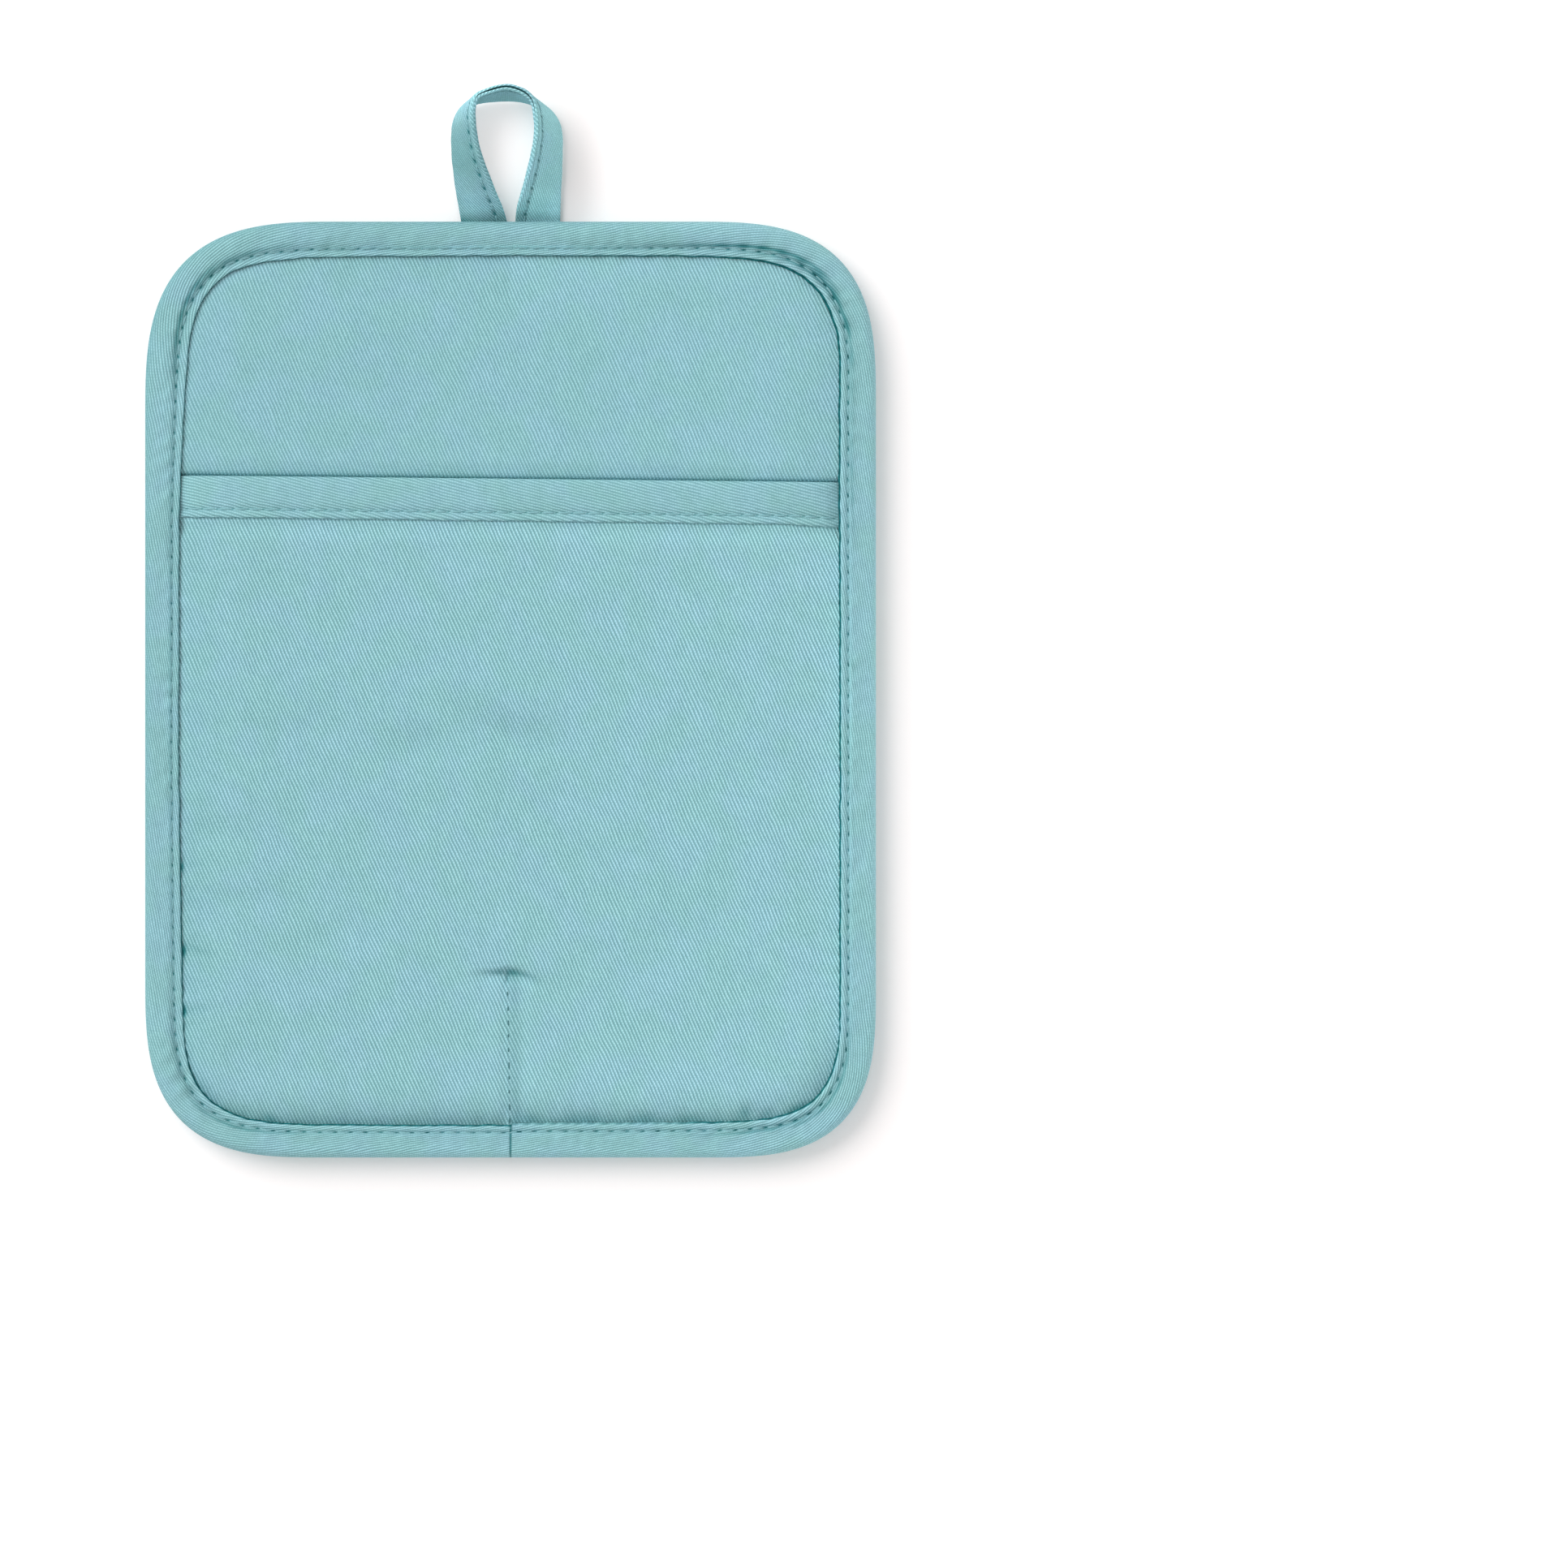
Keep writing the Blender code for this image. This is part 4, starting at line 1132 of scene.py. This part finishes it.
# From the left end to the right end, in mm: x, y above the body and z of the tape's outer
# edge, and then of its inner edge.
LOOP_TABLE = (
    (-11.9, -8, 0.7, -0.75, -8, 0.7), (-12, -3.5, 0.7, -0.8, -3.5, 0.7),
    (-12.1, -0.6, 0.7, -0.85, -0.6, 0.7), (-12.6, 2.6, 0.75, -2.05, 3.4, 3.4),
    (-13.18, 6.4, 0.8, -3.55, 6.6, 6), (-13.8, 11, 0.85, -5.5, 11.4, 8.2),
    (-14.3, 16.5, 0.9, -7.5, 16.9, 9.8), (-14.3, 21.6, 0.9, -8.65, 22.6, 10.6),
    (-13.45, 25.6, 0.85, -8.9, 27, 11), (-11.25, 28.2, 0.8, -8, 30.1, 11.2),
    (-6.5, 29.6, 0.75, -5, 31.6, 11.3), (-1.3, 29.9, 0.7, -1.3, 32.5, 11.35),
    (2, 29.8, 0.75, 1.4, 32.1, 11.3), (6.1, 28.8, 0.8, 4, 30.8, 11.2),
    (9.9, 26.7, 0.85, 5.55, 28.7, 11), (11.85, 23.6, 0.9, 6.18, 25, 10.6),
    (12.4, 20, 0.9, 6.22, 20.9, 10.2), (12.36, 15.4, 0.9, 5.38, 16, 9.4),
    (12.22, 10.4, 0.85, 4.1, 11.2, 8.1), (12.08, 6, 0.8, 2.65, 6.6, 6.2),
    (12.05, 2.4, 0.75, 1.5, 3.2, 3.5), (12, -0.6, 0.7, 0.95, -0.6, 0.7),
    (11.95, -3.5, 0.7, 0.85, -3.5, 0.7), (11.9, -8, 0.7, 0.75, -8, 0.7),
)
# In mm: distance from the outer fold, or below 0 from the open inner edge, and height of
# the face, then from the row LOOP_INNER_START on the tape's inside.
LOOP_PROFILE = (
    (0, 0), (0.08, 0.32), (0.35, 0.56), (0.9, 0.66), (2, 0.72), (3.6, 0.74), (-5.6, 0.74),
    (-3.6, 0.72), (-2.9, 0.62), (-2.2, 0.46), (-1.6, 0.6), (-0.9, 0.76), (-0.25, 0.74),
    (-0.03, 0.58), (0, 0.3), (-0.12, 0.14), (-0.5, 0.06), (-3, 0.05), (3, 0.05), (1.1, 0.05),
)
LOOP_INNER_START = 14
LOOP_STITCH_ROW = 9
LOOP_STITCH = 0.0022
LOOP_THREAD = 0.00018
# Share of the tape's length, and painted shade there, painted light where below 0: the left leg is
# painted darker than the right one.
LOOP_PAINTED_SHADE = (
    (0, 0.23), (0.095, 0.23), (0.125, -0.16), (0.155, -0.13), (0.18, 0.01), (0.21, 0.1),
    (0.235, 0.16), (0.26, 0.2), (0.29, 0.2), (0.314, 0.18), (0.338, 0.17), (0.362, 0.04),
    (0.39, -0.16), (0.415, -0.29), (0.445, -0.29), (0.505, -0.2), (0.585, -0.34), (0.612, -0.64),
    (0.665, -0.6), (0.717, -0.53), (0.815, -0.53), (0.843, -0.6), (0.872, -0.52), (0.9, -0.15),
    (1, -0.15),
)


def spline(points, steps):
    """Points on a smooth curve through rows of values."""
    padded = np.concatenate([points[:1], points, points[-1:]])
    before, start, end, after = (padded[index:len(points) - 1 + index, None] for index in range(4))
    share = (np.arange(steps) / steps)[:, None]
    curve = 0.5 * (
        2 * start
        + (end - before) * share
        + (2 * before - 5 * start + 4 * end - after) * share ** 2
        + (3 * start - before - 3 * end + after) * share ** 3
    )
    return np.concatenate([curve.reshape(-1, points.shape[1]), points[-1:]])


class Loop:
    """The folded tape of the hanging loop, at any place along it."""

    def __init__(self):
        rows = np.array(LOOP_TABLE) * MM
        rows[:, [1, 4]] += LENGTH / 2
        self.edges = spline(rows, 24)
        self.edges[:, [2, 5]] = np.maximum(self.edges[:, [2, 5]], LOOP_LEVEL)
        outer, inner = self.edges[:, :3], self.edges[:, 3:]
        self.places = path_lengths(inner - unit(inner - outer) * LOOP_STITCH)
        self.length = self.places[-1]
        self.count = round(self.length / 0.0035)
        self.pitch = self.length / self.count

    def edges_at(self, places):
        """Points of the outer and of the inner edge."""
        columns = [np.interp(places, self.places, column) for column in self.edges.T]
        return np.stack(columns[:3], -1), np.stack(columns[3:], -1)

    def arch(self, places):
        """1 at the top of the loop, where the tape stands on edge, 0 on its legs."""
        off = places - self.length / 2
        return np.exp(-np.abs(off / np.where(off < 0, 0.0066, 0.0095)) ** 3)[:, None]

    def rings(self, places):
        """Both faces of sections at places along the stitches, with the way that they face."""
        outer, inner = self.edges_at(places)
        size = np.linalg.norm(inner - outer, axis=1)[:, None]
        width = unit(inner - outer)
        ahead = np.mean(self.edges_at(places + 0.0006), 0)
        behind = np.mean(self.edges_at(places - 0.0006), 0)
        face = unit(np.cross(ahead - behind, width))
        offset, height = np.array(LOOP_PROFILE).T * MM
        rows = np.arange(len(offset))
        from_edge = (offset < 0) | (rows == LOOP_INNER_START)
        across = np.where(from_edge, size + offset, offset)
        slow = wave(places, 0.0170, 0.4) + 0.6 * wave(places, 0.0091, 2.0)
        fine = wave(places, 0.0049, 0.9 * slow)
        groove = bell(offset, -LOOP_STITCH, 0.0008) * from_edge
        bulge = 0.00003 * (slow + fine)[:, None]
        bulge = bulge - 0.00010 * np.outer(needle_share(places, self.pitch), groove)
        inside = rows > LOOP_INNER_START
        edge = rows == LOOP_INNER_START
        arch = self.arch(places)
        shut = 1 - (1 - arch) * (0.97 * inside + 0.99 * edge)
        base = (height + bulge * ~inside) * shut + 0.00005 * arch * (inside | edge)
        middle = outer[:, None] + width[:, None] * across[..., None]
        out = face[:, None] * base[..., None]
        return middle + out, middle - out, face


def make_loop():
    """The loop, and the paths and directions of its stitches on both faces."""
    tape = Loop()
    places = np.arange(PER_STITCH * tape.count + 1) * tape.pitch / PER_STITCH
    upper, lower, face = tape.rings(places)
    rings = np.concatenate([upper, lower[:, :0:-1]], 1)
    rings[..., 2] = np.maximum(rings[..., 2], 0.0)
    around = girth(rings[len(places) // 2], 0.0003)

    # Painted light and shade of the loop: each leg, the stitch groove, a lighter or darker inner
    # edge, the shadow at the feet under the binding, the needle holes and the dark slot between the
    # layers at the top.
    share = places / tape.length
    arch = tape.arch(places)
    left = ease((0.6 - share) / 0.2)[:, None]
    foot = ease((0.20 - share) / 0.05)
    rows = np.arange(rings.shape[1])
    fold = np.minimum(rows, len(rows) - rows)  # row counted from the fold on either face
    sewn = fold == LOOP_STITCH_ROW
    edge = np.abs(fold - LOOP_INNER_START) < 3
    shade = np.interp(share, *np.array(LOOP_PAINTED_SHADE).T)[:, None] + 0.16 * sewn
    shade += (0.34 - 0.54 * left - 0.30 * arch) * edge
    shade += 0.20 * np.outer(foot, clamp((5 - fold) / 2)) + 0.04 * arch * (rows < LOOP_STITCH_ROW)
    holes = np.arange(len(places)) % PER_STITCH == 0
    shade[np.ix_(holes, sewn)] = 0.72
    shade[np.ix_(np.roll(holes, 1), sewn)] += 0.55
    shade[np.ix_(np.roll(holes, 2), sewn)] += 0.25
    shade[:, fold > LOOP_INNER_START] = 0.60 * arch
    item = loft_object("loop_tape", rings, places, around, "loop", False, shade)
    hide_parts("hanging_loop")

    stitches = np.arange(2, tape.count - 2)
    upper, lower, face = tape.rings(stitch_places(stitches, tape.pitch))
    raised = face * np.tile(THREAD_ARCH, len(stitches))[:, None]
    top = upper[:, LOOP_STITCH_ROW] + raised
    under = lower[:, LOOP_STITCH_ROW] - raised
    under[:, 2] = np.maximum(under[:, 2], STITCH_RADIUS)
    return item, *(points.reshape(-1, STITCH_STEPS, 3) for points in (top, under, face))


# Silicone back --------------------

# In mm: distance from the middle of a groove, and depth of the groove there.
RIB_PROFILE = (
    (0, 1.4), (0.6, 1.4), (0.78, 1.28), (0.95, 1.02), (1.15, 0.66), (1.45, 0.34), (1.85, 0.14),
    (2.35, 0.03), (2.9, 0), (3.53, 0),
)
PLATE_STEP = 0.0003
STEP_MARKS = (-0.0004, -0.00006, 0.00006, 0.0004)
RIM_MARKS = (0.0080, 0.0084, 0.0087, 0.0090, 0.0093, 0.0098)
END_MARKS = (*RIM_MARKS, 0.0120, 0.0140)
LEAST_STEP = 0.00002


def within(value, ends):
    """How far values are inside a range, below 0 outside it."""
    return np.minimum(value - ends[0], ends[1] - value)


def silicone_face(x, y):
    """Height of the ribbed face with its bare plate."""
    number = np.clip(np.round(y / RIB_PITCH), -OUTER_GROOVE, OUTER_GROOVE)
    ribs = np.interp(np.abs(y - number * RIB_PITCH) / MM, *np.array(RIB_PROFILE).T) * MM
    margin = np.minimum(within(x, PLATE_X), within(y, PLATE_Y))
    plate = np.interp(margin, [-0.00005, 0.0, 0.0004], [RIB_HEIGHT, PLATE_STEP, 0.0])
    recessed = (within(x, RECESS_X) > 0) & (within(y, RECESS_Y) > 0)
    full = ease((rim_depth(x, y) - BINDING_REACH) / 0.0014)
    height = blend(RIB_HEIGHT, np.where(recessed, plate, ribs), full)
    sag = 0.00002 * (1 - height / RIB_HEIGHT) * gentle_waves(x, y, 71)
    return np.maximum(height + sag, 0.0) + loop_dent(x, y)


def both_ways(values):
    """Values with either sign."""
    return np.concatenate([np.negative(values), values])


def make_silicone():
    """The ribbed sheet."""
    columns = [
        marks(-SIDE, SIDE, 0.0060, [(-0.0180, 0.0180, 0.0020)]),
        np.add.outer((*PLATE_X, *RECESS_X), STEP_MARKS).ravel(),
        both_ways(WIDTH / 2 - np.array(RIM_MARKS)),
    ]
    grooves = np.arange(-OUTER_GROOVE, OUTER_GROOVE + 1) * RIB_PITCH
    slopes = np.array(RIB_PROFILE)[:-1, 0] * MM
    rows = [
        np.add.outer(grooves, both_ways(slopes)).ravel(),
        np.add.outer((*PLATE_Y, *RECESS_Y), STEP_MARKS).ravel(),
        both_ways(LENGTH / 2 - np.array(END_MARKS)),
    ]
    rows = np.concatenate(rows)
    rows = np.append(rows[np.abs(rows) < END], (-END, END))
    rows = np.unique(np.round(rows, 6))
    rows = rows[np.append(True, np.diff(rows) > LEAST_STEP)]
    x, y = plan_grid(np.unique(np.round(np.concatenate(columns), 6)), rows, shifted=False)
    base = np.stack([x, y, silicone_face(x, y)], -1)
    top = np.stack([x, y, SILICONE_TOP + loop_dent(x, y)], -1)
    item = sheet_object("ribbed_back", top, base, "silicone")
    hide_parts("silicone_back")


# Floor, light and camera --------------------

FLOOR_HALF = 3.0
FLOOR_LEVEL = -0.0002
FLOOR_COLOR = (0.958, 0.908, 0.902, 1.0)
FLOOR_GLOW = 0.14
WHITE = (1.0, 1.0, 1.0, 1.0)
# Painted light: the floor glows a little inside the hanging loop, lifting the shade there.
EYE_LIGHT_MIDDLE = (CENTRE_X - 0.0042, CENTRE_Y + LENGTH / 2 + 0.0205, 0.0)
EYE_LIGHT_SHAPE = (0.0110, 0.0155, 1.0)
EYE_PAINTED_GLOW = 0.27
EYE_PAINTED_LIGHT_COLOR = (1.0, 0.86, 0.84, 1.0)
# Painted shadow: the floor is a little darker to the right of the loop.
PAINTED_SHADOW_MIDDLE = (CENTRE_X + 0.0145, CENTRE_Y + LENGTH / 2 + 0.0080, 0.0)
PAINTED_SHADOW_SHAPE = (0.0070, 0.0165, 1.0)
PAINTED_SHADOW_GLOW_CUT = 0.06
PAINTED_SHADOW_COLOR = (0.785, 0.738, 0.732, 1.0)
WORLD_LEVEL = 0.62
KEY_LEVEL = 1.95
KEY_TILT = math.radians(48.0)
KEY_TURN = math.radians(139.0)
KEY_ANGLE = math.radians(45.0)
CAMERA_X = 0.0666
CAMERA_Y = -0.0230
CAMERA_HEIGHT = 2.4
FOCUS_LEVEL = 0.0080  # height at which the view is as wide as VIEW_WIDTH
VIEW_WIDTH = 0.38147
SENSOR = 36.0


def oval(made, middle, shape, power):
    """1 inside an oval on the floor, fading to 0 past its rim."""
    place = made.node("TexCoord", {}, "Object")
    scaled = made.vector("DIVIDE", made.vector("SUBTRACT", place, middle), shape)
    away = made.node("VectorMath", {0: scaled}, "Value", operation="LENGTH")
    return made.math("EXPONENT", made.times(made.math("POWER", away, power), -1.0))


def make_floor():
    """A white sweep without an edge in view, with a painted pool of light inside the hanging loop and
    a painted shadow to its right.
    """
    data = bpy.data.meshes.new("floor")
    corners = [(-1, -1), (1, -1), (1, 1), (-1, 1)]
    points = [(x * FLOOR_HALF, y * FLOOR_HALF, 0.0) for x, y in corners]
    data.from_pydata(points, [], [(0, 1, 2, 3)])
    item = linked("floor", data)
    item.location.z = FLOOR_LEVEL
    made = Material("floor white")
    near = oval(made, EYE_LIGHT_MIDDLE, EYE_LIGHT_SHAPE, 4.0)
    dim = oval(made, PAINTED_SHADOW_MIDDLE, PAINTED_SHADOW_SHAPE, 2.6)
    dimmed = made.math("MULTIPLY_ADD", dim, -PAINTED_SHADOW_GLOW_CUT, FLOOR_GLOW)
    inputs = {
        "Base Color": made.mixed(dim, FLOOR_COLOR, PAINTED_SHADOW_COLOR),
        "Emission Color": made.mixed(near, WHITE, EYE_PAINTED_LIGHT_COLOR),
        "Emission Strength": made.math("MULTIPLY_ADD", near, EYE_PAINTED_GLOW, dimmed),
    }
    made.put(made.shader, inputs)
    data.materials.append(made.finish(1.0, 0.0))


def make_light():
    """A broad soft key from the upper left over even light from all round."""
    world = bpy.data.worlds.new("studio")
    bpy.context.scene.world = world
    world.use_nodes = True
    background = world.node_tree.nodes["Background"]
    background.inputs["Color"].default_value = WHITE
    background.inputs["Strength"].default_value = WORLD_LEVEL
    lamp = bpy.data.lights.new("key", "SUN")
    lamp.energy = KEY_LEVEL
    lamp.angle = KEY_ANGLE
    flat = math.sin(KEY_TILT)
    source = Vector((math.cos(KEY_TURN) * flat, math.sin(KEY_TURN) * flat, math.cos(KEY_TILT)))
    linked("key", lamp).rotation_euler = source.to_track_quat("Z", "Y").to_euler()


def make_camera():
    """A camera straight above, off to the object's right as in the photograph."""
    lens = bpy.data.cameras.new("camera")
    lens.sensor_width = SENSOR
    lens.lens = SENSOR * (CAMERA_HEIGHT - FOCUS_LEVEL) / VIEW_WIDTH
    item = linked("camera", lens)
    item.location = (CENTRE_X + CAMERA_X, CENTRE_Y + CAMERA_Y, CAMERA_HEIGHT)
    bpy.context.scene.camera = item


def main():
    """Make every piece, then the studio."""
    make_panel()
    pocket = make_pocket()
    band, band_line = make_band()
    binding, front_line, back_line = make_binding()
    loop, inside_line, outside_line, loop_face = make_loop()
    make_silicone()
    pieces = [
        thread_object("dart_stitches", dart_stitches(), "shadowed thread", radius=0.00021),
        thread_object("band_stitches", band_line, "thread"),
    ]
    thread_object("binding_stitches_front", front_line, "thread")
    thread_object("binding_stitches_back", back_line, "thread")
    thread_object("loop_stitches_inside", inside_line, "loop thread", loop_face, LOOP_THREAD)
    thread_object("loop_stitches_outside", outside_line, "loop thread", loop_face, LOOP_THREAD)
    make_floor()
    make_light()
    make_camera()
    bpy.context.scene.view_settings.view_transform = "Standard"


main()
